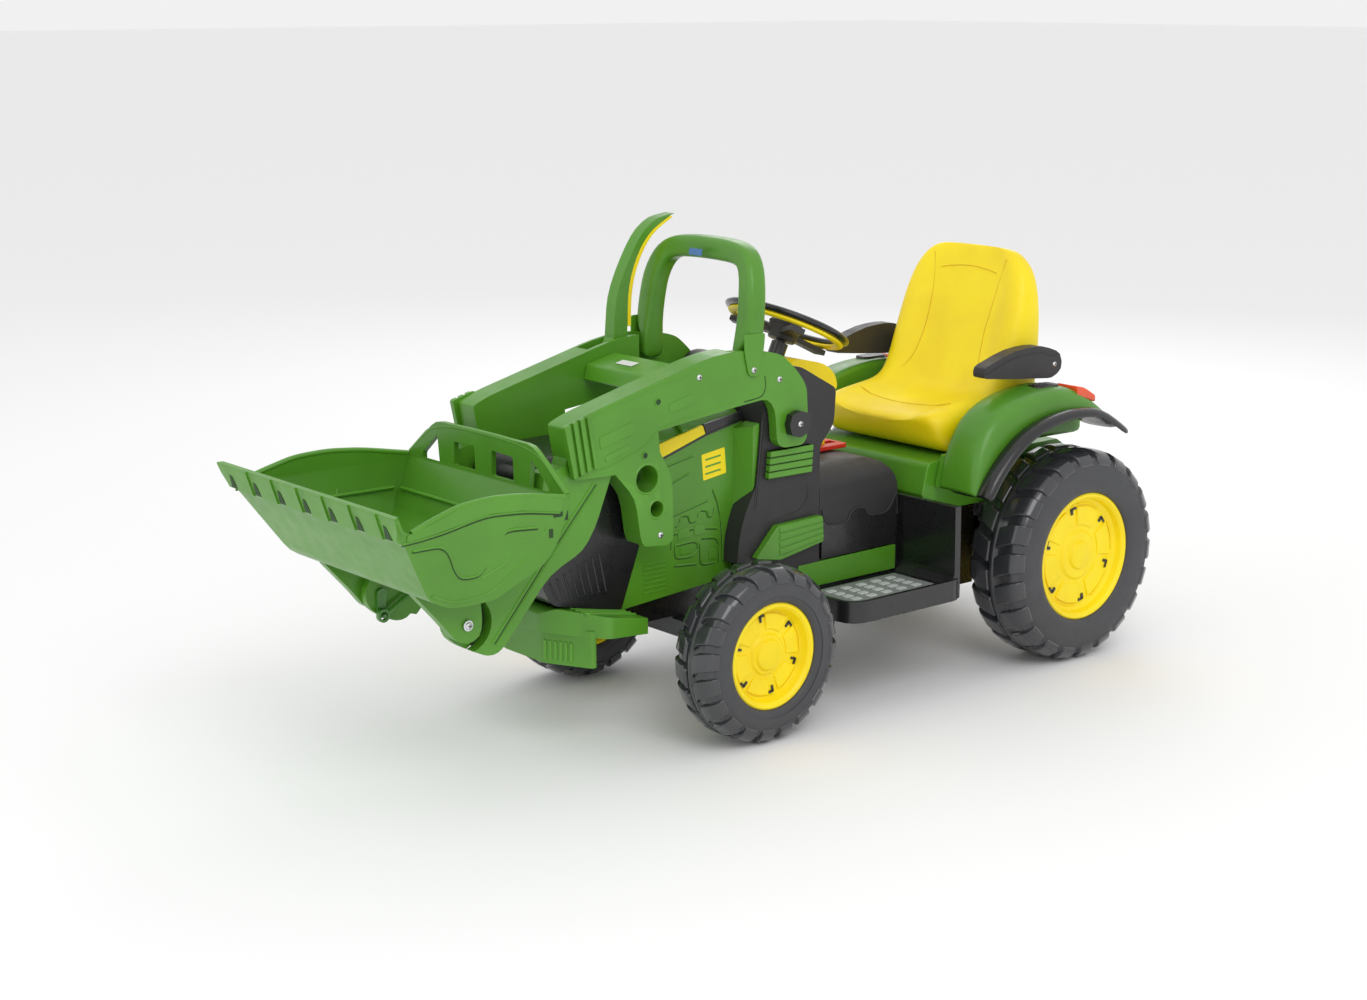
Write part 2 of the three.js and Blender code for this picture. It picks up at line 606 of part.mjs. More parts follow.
function loaderArm(side) {
  const upper = sidePrism(UPPER_ARM, side * ARM_INNER, side * ARM_OUTER);
  const plate = sidePrism(HOLES_PLATE, side * (ARM_INNER + 4), side * ARM_OUTER);
  const leg = sidePrism(LEG, side * LEG_INNER, side * LEG_OUTER);
  const tipRoom = sidePrism([[1150, 205], [1222, 226], [1238, 218], [1238, 190], [1150, 190]],
    side * 90, side * (EAR_INNER - 0.8));
  const heel = sidePrism(PIVOT_END, side * HEEL_INNER, side * ARM_OUTER);
  const cowlRoom = block([600, 722], [side * (ARM_INNER - 5), side * HEEL_INNER], [520, 640]);
  const earRoom = crossRod(BUCKET_PIN, EAR_CLEARANCE_RADIUS, side * (EAR_INNER - 0.8),
    side * (LEG_OUTER + 5), 28);
  const earFront = sidePrism([[1213, 290], [1250, 290], [1250, 200], [1310, 200], [1310, 330], [1213, 330]],
    side * (EAR_INNER - 0.8), side * (LEG_OUTER + 5));
  const holes = joined(
    crossRod([905, 441], 22, side * 90, side * 160, 24),
    crossRod([885, 389], 13, side * 90, side * 160, 20),
    crossRod(BUCKET_PIN, PIN_RADIUS + GAP, side * 90, side * 160),
    crossRod(LIFT_PIVOT, LIFT_PIN_RADIUS + GAP, side * 90, side * 160, 20),
  );
  const arm = joined(upper, plate, leg.subtract(tipRoom)).subtract(cowlRoom).add(heel);
  return arm.subtract(earRoom).subtract(earFront).subtract(holes);
}

function leverSlot() {
  const slot = block([696, 826], [-139.5, -109.5], [490, 660]);
  return slot.add(crossRod(LEVER_PIVOT, 5 + GAP, -150, -95));
}

function armCover(side) {
  const cover = sidePrism([[1056, 462, 4], [1074, 546, 4], [1030, 558, 4], [1008, 476, 4]],
    side * (ARM_OUTER + GAP), side * (ARM_OUTER + 10));
  const flutes = [1018, 1032, 1046].map((x) => sidePrism([[x - 3, 466], [x + 3, 466], [x + 19, 560],
    [x + 13, 560]],
    side * (ARM_OUTER + 5), side * (ARM_OUTER + 12)));
  return flutes.reduce((whole, flute) => whole.subtract(flute), cover);
}

function crossBox() {
  const side = [[782, 574], [776, 602, 4], [836, 588, 4], [842, 560]];
  const half = ARM_INNER - GAP;
  return sidePrism(side, -half, half, 3);
}

function hoopHandle() {
  const outer = [[-149, 576], [149, 576], [149, 650, 40], [141, 738, 50], [122, 780, 26], [84, 797, 26],
    [-84, 797, 26], [-122, 780, 26], [-141, 738, 50], [-149, 650, 40]];
  const inner = [[-110, 560], [110, 560], [106, 712, 20], [84, 758, 30], [-84, 758, 30], [-106, 712, 20]];
  const band = [[704, 576, 6], [700, 620, 20], [691, 670, 30], [684, 723, 30], [672, 762, 20], [656, 800],
    [616, 800], [634, 758, 20], [645, 723, 30], [652, 670, 30], [657, 620, 20], [656, 576, 6]];
  const arch = frontPrism(outer, 600, 720).subtract(frontPrism(inner, 590, 730));
  const hoop = arch.intersect(sidePrism(band, -160, 160));
  const armRoom = SIDES.map(([, side]) => sidePrism([[640, 560], [640, 621], [706, 630], [720, 629.5],
    [720, 560]],
    side * (HEEL_INNER - GAP), side * 170));
  return armRoom.reduce((whole, room) => whole.subtract(room), hoop);
}

function pivotKnob(side) {
  const shaft = crossRod(LIFT_PIVOT, LIFT_PIN_RADIUS, side * (COWL_HALF - 20), side * (ARM_OUTER + 2), 20);
  const cap = sidePrism([[562, 470], [562, 514], [610, 514], [610, 470]], side * (ARM_OUTER + GAP),
    side * (ARM_OUTER + 14), 21);
  return joined(shaft, cap);
}

const LEVER_FRONT = [
  [768, 616], [762, 690, 20], [744, 734, 20], [720, 776, 20], [700, 802, 14], [672, 820, 12], [632, 826, 3],
];
const LEVER_REAR = [
  [635, 820, 3], [672, 800, 14], [692, 781, 16], [708, 756, 20], [722, 722, 20], [728, 690, 20], [730, 616],
];

function leverFootPoint() {
  return [LEVER_PIVOT[0] - Math.sin(LEVER_REST) * LEVER_FOOT,
    LEVER_PIVOT[1] - Math.cos(LEVER_REST) * LEVER_FOOT];
}

function crankPoint() {
  return [BUCKET_PIN[0] + Math.cos(CRANK_REST) * CRANK_LENGTH,
    BUCKET_PIN[1] + Math.sin(CRANK_REST) * CRANK_LENGTH];
}

function tiltLever() {
  const foot = leverFootPoint();
  const core = LEVER_REAR.map(([x, z, round]) => [x + 8, z + 2, round]);
  const handle = sidePrism([...LEVER_FRONT, ...core], -137, -112);
  const shank = sidePrism([[744, 622], [768, 622], [790, 590, 16], [766, 560], [foot[0] + 10, foot[1], 8],
    [foot[0], foot[1] - 12, 8], [foot[0] - 10, foot[1], 8], [748, 560]], -137, -112);
  const pivot = crossRod(LEVER_PIVOT, 5, -144, -104);
  const footPin = crossRod(foot, LINK_PIN_RADIUS, -114, -89);
  return joined(handle, shank, pivot, footPin);
}

function leverGrip() {
  const front = LEVER_REAR.map(([x, z, round]) => [x + 8 - GAP, z + 2 - GAP, round]);
  return sidePrism([...LEVER_REAR.slice(0, -1), [729.4, 640],
    [736.4, 640], ...front.slice(0, -1).reverse()],
    -137, -112);
}

function tiltRod() {
  const foot = leverFootPoint();
  const crank = crankPoint();
  const run = [crank[0] - foot[0], crank[1] - foot[1]];
  const length = Math.hypot(...run);
  const unit = run.map((part) => part / length);
  const bar = rod([foot[0] + unit[0] * 8, ROD_Y, foot[1] + unit[1] * 8],
    [crank[0] - unit[0] * 8, ROD_Y, crank[1] - unit[1] * 8], ROD_RADIUS, 12);
  const across = (at, radius, half, segments) => crossRod(at, radius, ROD_Y - half, ROD_Y + half, segments);
  const upperEye = across(foot, 9, ROD_RADIUS, 20);
  const lowerEye = across(crank, 11, ROD_RADIUS, 20);
  const upperHole = across(foot, LINK_PIN_RADIUS + GAP, 10, 12);
  const lowerHole = across(crank, LINK_PIN_RADIUS + CRANK_PLAY, 10, 20);
  return joined(bar, upperEye, lowerEye).subtract(upperHole).subtract(lowerHole);
}

function bucketPin(side) {
  const shaft = crossRod(BUCKET_PIN, PIN_RADIUS, side * (LEG_INNER - 4), side * (EAR_OUTER + 1));
  const head = crossRod(BUCKET_PIN, 9, side * (EAR_OUTER + GAP), side * (EAR_OUTER + 5), 12);
  const nut = crossRod(BUCKET_PIN, 9, side * (LEG_INNER - 5), side * (LEG_INNER - GAP), 12);
  return joined(shaft, head, nut);
}

function bucketCrank() {
  const [x, z] = crankPoint();
  const [pinX, pinZ] = BUCKET_PIN;
  const link = sidePrism([[pinX - 9, pinZ + 7], [pinX + 9, pinZ + 7], [x + 7, z - 5], [x - 7, z - 5]],
    0.5 - LEG_INNER, 5 - LEG_INNER, 5);
  const pin = crossRod([x, z], LINK_PIN_RADIUS, 4 - LEG_INNER, -88);
  return joined(bucketPin(-1), link, pin);
}

const BUCKET_OUTER = [
  [1232, 309, 8], [1283, 307, 10], [1318, 311, 12], [1356, 330, 14], [1422, 433, 6], [1434, 438],
  [1446.5, 474], [1446.5, 477], [1438, 478], [1420, 448, 8], [1404, 446], [1378, 457, 20],
  [1323, 473, 20], [1264, 477, 20], [1204, 472], [1117, 455], [1111, 447, 4], [1152, 354, 14],
];
const BUCKET_INNER = [
  [1240, 316, 10], [1282, 314, 10], [1314, 318, 12], [1350, 335, 14], [1412, 432, 6], [1412, 520],
  [1122, 520], [1119, 449], [1158, 360, 14],
];

function bucketShell() {
  const grow = (BUCKET_LIP_HALF - BUCKET_REAR_HALF) / (1420 - 1110);
  const half = (x) => BUCKET_REAR_HALF + grow * (x - 1110);
  const plan = (trim) => [[1090, -half(1090) + trim], [1425, -half(1425) + trim],
    [1455, trim - LIP_TIP_HALF], [1455, LIP_TIP_HALF - trim], [1425, half(1425) - trim],
    [1090, half(1090) - trim]];
  const flare = (trim) => frontPrism([[trim - 182, 290], [182 - trim, 290], [243 - trim, 445],
    [270 - trim, 490],
    [270 - trim, 540], [trim - 270, 540], [trim - 270, 490], [trim - 243, 445]], 1080, 1460);
  const outer = sidePrism(BUCKET_OUTER, -270, 270).intersect(planPrism(plan(0), 290,
    540)).intersect(flare(0));
  const inner = sidePrism(BUCKET_INNER, -270, 270).intersect(planPrism(plan(6), 290,
    540)).intersect(flare(6));
  return outer.subtract(inner);
}

function bucketGuard() {
  const face = [[-216, 449], [216, 449], [214, 458, 6], [132, 521, 16], [-132, 521, 16], [-214, 458, 6]];
  const plate = frontPrism(face, 1109, 1118);
  const windows = SIDES.flatMap(([, side]) => [
    frontPrism([[side * 22, 455], [side * 82, 455], [side * 80, 494], [side * 24, 496]], 1100, 1130, 3),
    frontPrism([[side * 122, 449], [side * 172, 448], [side * 172, 462], [side * 128, 499]], 1100, 1130, 3),
  ]);
  return windows.reduce((whole, opening) => whole.subtract(opening), plate);
}

function bucketEar(side) {
  const ear = sidePrism([
    [1342, 327], [1338, 319], [1289, 265, 20], [1268, 238, 14], [1248, 230, 14], [1224, 238, 16],
    [1220, 262, 14], [1224, 313], [1283, 312], [1316, 315],
  ], side * EAR_INNER, side * EAR_OUTER);
  return ear.subtract(crossRod(BUCKET_PIN, PIN_RADIUS + GAP, side * 110, side * 150));
}

function bucket() {
  const shell = joined(bucketShell(), bucketGuard(), bucketEar(1), bucketEar(-1));
  const tooth = [[1429, 436.5], [1436.5, 437], [LIP_TIP_X, 473], [LIP_TIP_X, 476.5], [1440, 477]];
  const teeth = [-2.5, -1.5, -0.5, 0.5, 1.5, 2.5].map((place) => {
    const y = place * TOOTH_PITCH;
    return sidePrism(tooth, y - TOOTH_HALF, y + TOOTH_HALF);
  });
  return joined(shell, ...teeth);
}

// ---- assembly ----
function buildTractor() {
  piece('chassis_tub', 'black', chassisTub());
  piece('cowl', 'charcoal', cowl());
  piece('dash_console', 'yellow', dashConsole());
  piece('tunnel_cover', 'charcoal', tunnelCover());
  piece('lever_boot', 'red', leverBoot());
  piece('hood', 'green', hood());
  piece('nose_grille', 'black', nose());
  piece('front_bumper', 'green', frontBumper());
  piece('seat_base', 'green', seatBase());
  piece('battery', 'black', block([130, 280], [-75, 75], [140 + GAP, 240]));
  piece('rear_axle', 'steel', crossRod([0, REAR_WHEEL.radius], AXLE_RADIUS, -274, 274));
  piece('front_axle', 'dark_steel', frontAxle());
  piece('steering_column', 'black', steeringColumn());
  piece('pedal_bracket', 'black', pedalBracket());
  for (const [name, side] of SIDES) {
    piece(`gear_motor_${name}`, 'charcoal', gearMotor(side));
    piece(`cowl_insert_${name}`, 'green', cowlInsert(side));
    piece(`footboard_${name}`, 'black', footboard(side));
    piece(`foot_mat_${name}`, 'grey_mat', footMat(side));
    piece(`fender_${name}`, 'green', fender(side));
    piece(`mud_flap_${name}`, 'black', mudFlap(side));
    piece(`tail_light_${name}`, 'lamp', tailLight(side));
    piece(`pivot_knob_${name}`, 'black', pivotKnob(side));
  }
}

function buildMovingParts() {
  piece('steering_wheel_rim', 'black', steeringRim(STEER_RADIUS - 11, 11, 0, 24, 8));
  piece('steering_hub', 'charcoal', steeringHub().subtract(steeringRim(STEER_RADIUS - 11, 11 + GAP, 0,
    24, 8)));
  piece('gear_lever', 'yellow', gearLever());
  piece('accelerator_pedal', 'charcoal', pedal());
  piece('seat', 'yellow', seat());
  piece('tie_rod', 'steel', tieRod());
  for (const [name, side] of SIDES) {
    piece(`knuckle_${name}`, 'dark_steel', knuckle(side));
    piece(`armrest_${name}`, 'charcoal', armrest(side));
    wheel(`rear_${name}`, REAR_WHEEL, side);
    wheel(`front_${name}`, FRONT_WHEEL, side);
  }
}

function buildLoader() {
  piece('arm_left', 'green', loaderArm(1));
  piece('arm_right', 'green', loaderArm(-1).subtract(leverSlot()));
  for (const [name, side] of SIDES) {
    piece(`cylinder_cover_${name}`, 'green', armCover(side));
  }
  piece('cross_box', 'green', crossBox());
  piece('hoop_handle', 'green', hoopHandle());
  piece('tilt_lever', 'green', tiltLever());
  piece('lever_grip', 'yellow', leverGrip());
  piece('tilt_rod', 'steel', tiltRod());
  piece('bucket', 'green', bucket());
  piece('bucket_pin_left', 'steel', bucketPin(1));
  piece('bucket_crank', 'steel', bucketCrank());
}

buildTractor();
buildMovingParts();
buildLoader();
machine.position.set(-CENTRE_X, 0, 0);

export default machine;
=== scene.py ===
"""The looks of a battery ride-on tractor with a front loader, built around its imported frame.

Sizes inside the functions are millimetres: x counted forward from the rear axle, y to the left, z up.
"""
import json
import math

import bmesh
import bpy
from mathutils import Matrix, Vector


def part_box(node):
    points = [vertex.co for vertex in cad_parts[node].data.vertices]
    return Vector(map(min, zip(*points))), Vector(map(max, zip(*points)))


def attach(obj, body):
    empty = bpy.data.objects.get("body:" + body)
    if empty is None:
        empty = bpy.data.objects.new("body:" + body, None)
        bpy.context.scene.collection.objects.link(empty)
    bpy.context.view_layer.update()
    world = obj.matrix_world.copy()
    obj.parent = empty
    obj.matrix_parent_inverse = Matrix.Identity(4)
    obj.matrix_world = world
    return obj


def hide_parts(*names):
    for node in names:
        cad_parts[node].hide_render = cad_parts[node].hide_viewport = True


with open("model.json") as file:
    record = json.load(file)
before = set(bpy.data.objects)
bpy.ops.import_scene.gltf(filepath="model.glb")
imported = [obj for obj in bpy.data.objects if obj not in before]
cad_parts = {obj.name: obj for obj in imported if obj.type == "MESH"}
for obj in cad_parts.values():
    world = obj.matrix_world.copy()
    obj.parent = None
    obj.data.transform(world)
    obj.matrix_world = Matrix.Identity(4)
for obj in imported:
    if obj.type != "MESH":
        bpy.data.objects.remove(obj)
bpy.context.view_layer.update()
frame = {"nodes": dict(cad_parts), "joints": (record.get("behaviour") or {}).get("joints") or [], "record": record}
JOINTS = {joint["name"]: joint for joint in frame["joints"]}
AXLE_X = JOINTS["rear_left_spin"]["pos_m"][0]
SIDES = (("left", 1), ("right", -1))

# The faces that the added details stand on, as half widths from the centre plane.
HOOD_FACE = 88
TUNNEL_FACE = 125
CHASSIS_FACE = 120
ARM_FACE = 146
LEG_FACE = 138
FENDER_INNER = 182
FENDER_OUTER = 262

# The bucket lip's face in the side view: its low edge, its run to the tip and its outward normal.
LIP_BASE = (1434, 438)
LIP_RUN = (12.5, 36)
LIP_OUT = (0.94, -0.34)
TOOTH_PITCH = 73.6


# ---- places and meshes ----
def at(x, y, z):
    return Vector((x / 1000 + AXLE_X, y / 1000, z / 1000))


def hinge_place(name):
    x, y, z = JOINTS[name]["pos_m"]
    return (x - AXLE_X) * 1000, y * 1000, z * 1000


def piece(name, points, faces, material, body, bevel=0.0, sharp=35, subdivide=0):
    """A mesh from points in millimetres that rides on a body and takes its slot from the material."""
    mesh = bpy.data.meshes.new(name)
    mesh.from_pydata([at(*p) for p in points], [], faces)
    work = bmesh.new()
    work.from_mesh(mesh)
    bmesh.ops.remove_doubles(work, verts=work.verts, dist=1e-6)
    bmesh.ops.recalc_face_normals(work, faces=work.faces)
    work.to_mesh(mesh)
    work.free()
    mesh.shade_smooth()
    mesh.materials.append(material)
    obj = bpy.data.objects.new(name, mesh)
    bpy.context.scene.collection.objects.link(obj)
    if bevel:
        round_edges(obj, bevel, sharp)
    elif subdivide:
        layer = obj.modifiers.new("smooth", "SUBSURF")
        layer.levels = subdivide
        layer.render_levels = subdivide
    else:
        mesh.set_sharp_from_angle(angle=math.radians(sharp))
    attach(obj, body)
    return obj


def round_edges(obj, width, angle=35, segments=2):
    bevel = obj.modifiers.new("edges", "BEVEL")
    bevel.width = width / 1000
    bevel.segments = segments
    bevel.limit_method = "ANGLE"
    bevel.angle_limit = math.radians(angle)
    bevel.use_clamp_overlap = True
    normals = obj.modifiers.new("normals", "WEIGHTED_NORMAL")
    normals.weight = 80


def rounded(points, radius=0.0, steps=3):
    """An outline whose corners are rounded by radius, or by a corner's own third number."""
    made = []
    count = len(points)
    for i, point in enumerate(points):
        corner = Vector(point[:2])
        back = Vector(points[i - 1][:2]) - corner
        ahead = Vector(points[(i + 1) % count][:2]) - corner
        want = point[2] if len(point) > 2 else radius
        reach = min(want, 0.48 * back.length, 0.48 * ahead.length)
        if reach <= 0:
            made.append(tuple(corner))
            continue
        enter = corner + back.normalized() * reach
        leave = corner + ahead.normalized() * reach
        for step in range(steps + 1):
            t = step / steps
            spot = enter * (1 - t) ** 2 + corner * 2 * t * (1 - t) + leave * t * t
            made.append(tuple(spot))
    return made


PLANES = {
    "side": lambda a, b, depth: (a, depth, b),
    "front": lambda a, b, depth: (depth, a, b),
    "plan": lambda a, b, depth: (a, b, depth),
}


def prism(name, plane, outline, low, high, material, body, radius=0.0, bevel=0.0):
    """An outline in the side (x, z), front (y, z) or plan (x, y) view, given thickness."""
    shape = rounded(outline, radius)
    spot = PLANES[plane]
    count = len(shape)
    points = [spot(a, b, low) for a, b in shape] + [spot(a, b, high) for a, b in shape]
    faces = [tuple(range(count)), tuple(range(count, 2 * count))]
    faces += [(i, (i + 1) % count, (i + 1) % count + count, i + count) for i in range(count)]
    return piece(name, points, faces, material, body, bevel=bevel)


def joined(name, parts):
    """Several pieces of one material and body as one piece."""
    bpy.ops.object.select_all(action="DESELECT")
    for part in parts:
        part.select_set(True)
    bpy.context.view_layer.objects.active = parts[0]
    bpy.ops.object.join()
    parts[0].name = name
    parts[0].data.name = name
    return parts[0]


def turned(name, centre, profile, segments, material, body, bevel=0.0, sharp=35):
    """A body of revolution about the line along Y through centre. The closed profile holds (radius, y)."""
    x, z = centre
    points = []
    for step in range(segments):
        angle = 2 * math.pi * step / segments
        points += [(x + r * math.cos(angle), y, z + r * math.sin(angle)) for r, y in profile]
    count = len(profile)
    faces = []
    for step in range(segments):
        here = step * count
        there = (step + 1) % segments * count
        for i in range(count):
            j = (i + 1) % count
            corners = [here + i, here + j, there + j, there + i]
            if profile[i][0] == 0 and profile[j][0] == 0:
                continue
            faces.append(tuple(corners))
    return piece(name, points, faces, material, body, bevel=bevel, sharp=sharp)


def tube(name, path, radius, material, body, sides=8, closed=False):
    """A round bead along a path, with closed ends."""
    spots = [Vector(p) for p in path]
    count = len(spots)
    points = []
    for i, spot in enumerate(spots):
        before = spots[i - 1] if i or closed else spot
        after = spots[(i + 1) % count] if i < count - 1 or closed else spot
        ahead = (after - before).normalized()
        across = ahead.cross(Vector((0, 0, 1)))
        if across.length < 0.2:
            across = ahead.cross(Vector((0, 1, 0)))
        across.normalize()
        up = across.cross(ahead)
        for k in range(sides):
            turn = 2 * math.pi * k / sides
            points.append(tuple(spot + radius * (across * math.cos(turn) + up * math.sin(turn))))
    faces = []
    for i in range(count if closed else count - 1):
        for k in range(sides):
            here = i * sides
            there = (i + 1) % count * sides
            faces.append((here + k, here + (k + 1) % sides, there + (k + 1) % sides, there + k))
    if not closed:
        faces += [tuple(range(sides)), tuple(range((count - 1) * sides, count * sides))]
    return piece(name, points, faces, material, body)


def softened(path, steps=4):
    """A path whose corners are cut by one curve each."""
    made = [Vector(path[0])]
    for i in range(1, len(path) - 1):
        corner = Vector(path[i])
        enter = corner.lerp(Vector(path[i - 1]), 0.35)
        leave = corner.lerp(Vector(path[i + 1]), 0.35)
        for step in range(steps + 1):
            t = step / steps
            made.append(enter * (1 - t) ** 2 + corner * 2 * t * (1 - t) + leave * t * t)
    made.append(Vector(path[-1]))
    return made


# ---- materials ----
def node(tree, kind, **inputs):
    made = tree.nodes.new(kind)
    for name, value in inputs.items():
        made.inputs[name.replace("_", " ")].default_value = value
    return made


def noise(tree, scale, detail, low, high):
    """A cloud of values between low and high that stays with the piece."""
    where = tree.nodes.new("ShaderNodeTexCoord")
    cloud = node(tree, "ShaderNodeTexNoise", Scale=scale, Detail=detail)
    tree.links.new(where.outputs["Object"], cloud.inputs["Vector"])
    spread = node(tree, "ShaderNodeMapRange")
    spread.inputs["From Min"].default_value = 0.3
    spread.inputs["From Max"].default_value = 0.7
    spread.inputs["To Min"].default_value = low
    spread.inputs["To Max"].default_value = high
    tree.links.new(cloud.outputs["Fac"], spread.inputs["Value"])
    return spread.outputs["Result"]


def blended(tree, factor, first, second):
    mix = tree.nodes.new("ShaderNodeMix")
    mix.data_type = "RGBA"
    tree.links.new(factor, mix.inputs[0])
    for socket, value in ((mix.inputs[6], first), (mix.inputs[7], second)):
        if isinstance(value, tuple):
            socket.default_value = (*value, 1)
        else:
            tree.links.new(value, socket)
    return mix.outputs[2]


def shaded(colour, factor):
    return tuple(min(1.0, part * factor) for part in colour)


def plastic(name, slot, colour, roughness, grain=700, bump=0.08, wear=0.3, coat=0.0, metal=0.0, cloud=9):
    """Moulded plastic: cloudy colour, fine grain, uneven gloss and edges rubbed a little lighter."""
    material = bpy.data.materials.new(name)
    material["slot"] = slot
    material.use_nodes = True
    tree = material.node_tree
    shader = tree.nodes["Principled BSDF"]
    shader.inputs["Coat Weight"].default_value = coat
    shader.inputs["Coat Roughness"].default_value = 0.12
    shader.inputs["Metallic"].default_value = metal
    patch = noise(tree, cloud, 4, 0, 1)
    body = blended(tree, patch, shaded(colour, 0.9), shaded(colour, 1.08))
    where = tree.nodes.new("ShaderNodeNewGeometry")
    edge = node(tree, "ShaderNodeMapRange")
    edge.inputs["From Min"].default_value = 0.51
    edge.inputs["From Max"].default_value = 0.62
    edge.inputs["To Max"].default_value = wear
    tree.links.new(where.outputs["Pointiness"], edge.inputs["Value"])
    rubbed = blended(tree, edge.outputs["Result"], body, shaded(colour, 1.7))
    tree.links.new(rubbed, shader.inputs["Base Color"])
    tree.links.new(noise(tree, 40, 6, roughness - 0.05, roughness + 0.08), shader.inputs["Roughness"])
    relief = node(tree, "ShaderNodeBump", Strength=bump, Distance=0.0004)
    tree.links.new(noise(tree, grain, 3, 0, 1), relief.inputs["Height"])
    tree.links.new(relief.outputs["Normal"], shader.inputs["Normal"])
    return material


GREEN = plastic("green_plastic", "green", (0.076, 0.255, 0.013), 0.36, bump=0.06, wear=0.3, coat=0.1)
GREEN_STEEL = plastic("green_painted_steel", "green_steel", (0.05, 0.2, 0.022), 0.3, bump=0.03, coat=0.3)
# Dark green for the green parts' grooves, gaps, sockets and recesses: painted shade, not a colour of its own.
GREEN_PAINTED_SHADE = plastic("green_painted_shade", "green", (0.012, 0.052, 0.006), 0.6, wear=0)
YELLOW = plastic("yellow_plastic", "yellow", (1.0, 0.74, 0.0), 0.45, bump=0.05, wear=0.03)
# Darker yellow for the seat's seam lines: painted shade in the moulded creases.
YELLOW_SEAM_SHADE = plastic("yellow_seam_painted_shade", "yellow", (0.74, 0.47, 0.0), 0.5, wear=0)
CHARCOAL = plastic("charcoal_plastic", "charcoal", (0.024, 0.022, 0.024), 0.46, grain=1500, bump=0.25,
                   wear=0.3)
BLACK = plastic("black_plastic", "black", (0.009, 0.009, 0.01), 0.28, bump=0.08, wear=0.5, coat=0.25)
TYRE = plastic("tyre_sidewall", "tyre", (0.05, 0.051, 0.056), 0.5, grain=1100, bump=0.2, wear=0.3)
TREAD = plastic("tyre_tread", "tyre", (0.032, 0.033, 0.037), 0.18, bump=0.05, wear=0.5, coat=0.6)
MAT = plastic("step_tread", "grey_mat", (0.21, 0.225, 0.215), 0.5, grain=900, bump=0.3, wear=0.3)
MAT_STUD = plastic("step_stud", "grey_mat", (0.52, 0.55, 0.53), 0.36, wear=0.2)
LAMP = plastic("lamp_lens", "lamp", (0.82, 0.075, 0.012), 0.14, bump=0.02, wear=0.2, coat=0.5)
RED = plastic("red_plastic", "red", (0.62, 0.02, 0.01), 0.35)
STEEL = plastic("zinc_steel", "steel", (0.66, 0.67, 0.69), 0.26, grain=1800, bump=0.15, wear=0.2, metal=1.0,
                cloud=60)
DARK_STEEL = plastic("dark_steel", "dark_steel", (0.07, 0.072, 0.075), 0.4, grain=900, bump=0.2, metal=0.6)
BLUE_LABEL = plastic("blue_label", "green", (0.06, 0.17, 0.42), 0.3, bump=0.01, wear=0)
WHITE_LABEL = plastic("white_label", "green", (0.74, 0.75, 0.72), 0.35, bump=0.01, wear=0)

SLOT_LOOKS = {
    "green": GREEN, "yellow": YELLOW, "charcoal": CHARCOAL, "black": BLACK, "tyre": TYRE, "grey_mat": MAT,
    "lamp": LAMP, "red": RED, "steel": STEEL, "dark_steel": DARK_STEEL, "green_steel": GREEN_STEEL,
}
EDGE_WIDTHS = {
    "hoop_handle": 7, "seat_base": 5, "hood": 3, "cowl": 4, "front_bumper": 4, "tilt_lever": 4, "arm_left": 3,
    "arm_right": 3, "armrest_left": 6, "armrest_right": 6, "tunnel_cover": 4, "footboard_left": 3,
    "footboard_right": 3, "nose_grille": 4, "dash_console": 6, "cross_box": 3, "gear_lever": 2,
    "tail_light_left": 3, "tail_light_right": 3, "pivot_knob_left": 2.5, "pivot_knob_right": 2.5,
}


def dress_frame():
    """Better materials and rounded edges for the frame's own nodes. Their meshes are unchanged."""
    slots = {part["node"]: part["material_slot"] for part in frame["record"]["subparts"]}
    for name, obj in frame["nodes"].items():
        obj.data.materials.clear()
        obj.data.materials.append(SLOT_LOOKS[slots[name]])
        obj.data.shade_smooth()
        weld = obj.modifiers.new("weld", "WELD")
        weld.merge_threshold = 2e-5
        flat = obj.modifiers.new("flat", "DECIMATE")
        flat.decimate_type = "DISSOLVE"
        flat.angle_limit = math.radians(1)
        round_edges(obj, EDGE_WIDTHS.get(name, 1.2), 30)


# ---- wheels ----
def lug(base_angle, stations, centre, slant, half, y_of):
    """One tread block: stations run from the middle of the tread over the shoulder to the sidewall."""
    x, z = centre
    points = []
    for f, top, bottom in stations:
        angle = base_angle + slant * f
        for (r, y), share in ((bottom, 1.12), (top, 0.9), (top, -0.9), (bottom, -1.12)):
            turn = angle + half * share
            points.append((x + r * math.cos(turn), y_of(y), z + r * math.sin(turn)))
    faces = [(0, 1, 2, 3)]
    for i in range(len(stations) - 1):
        here = 4 * i
        faces += [(here + k, here + (k + 1) % 4, here + (k + 1) % 4 + 4, here + k + 4) for k in range(4)]
    last = 4 * (len(stations) - 1)
    faces.append((last, last + 1, last + 2, last + 3))
    return points, faces


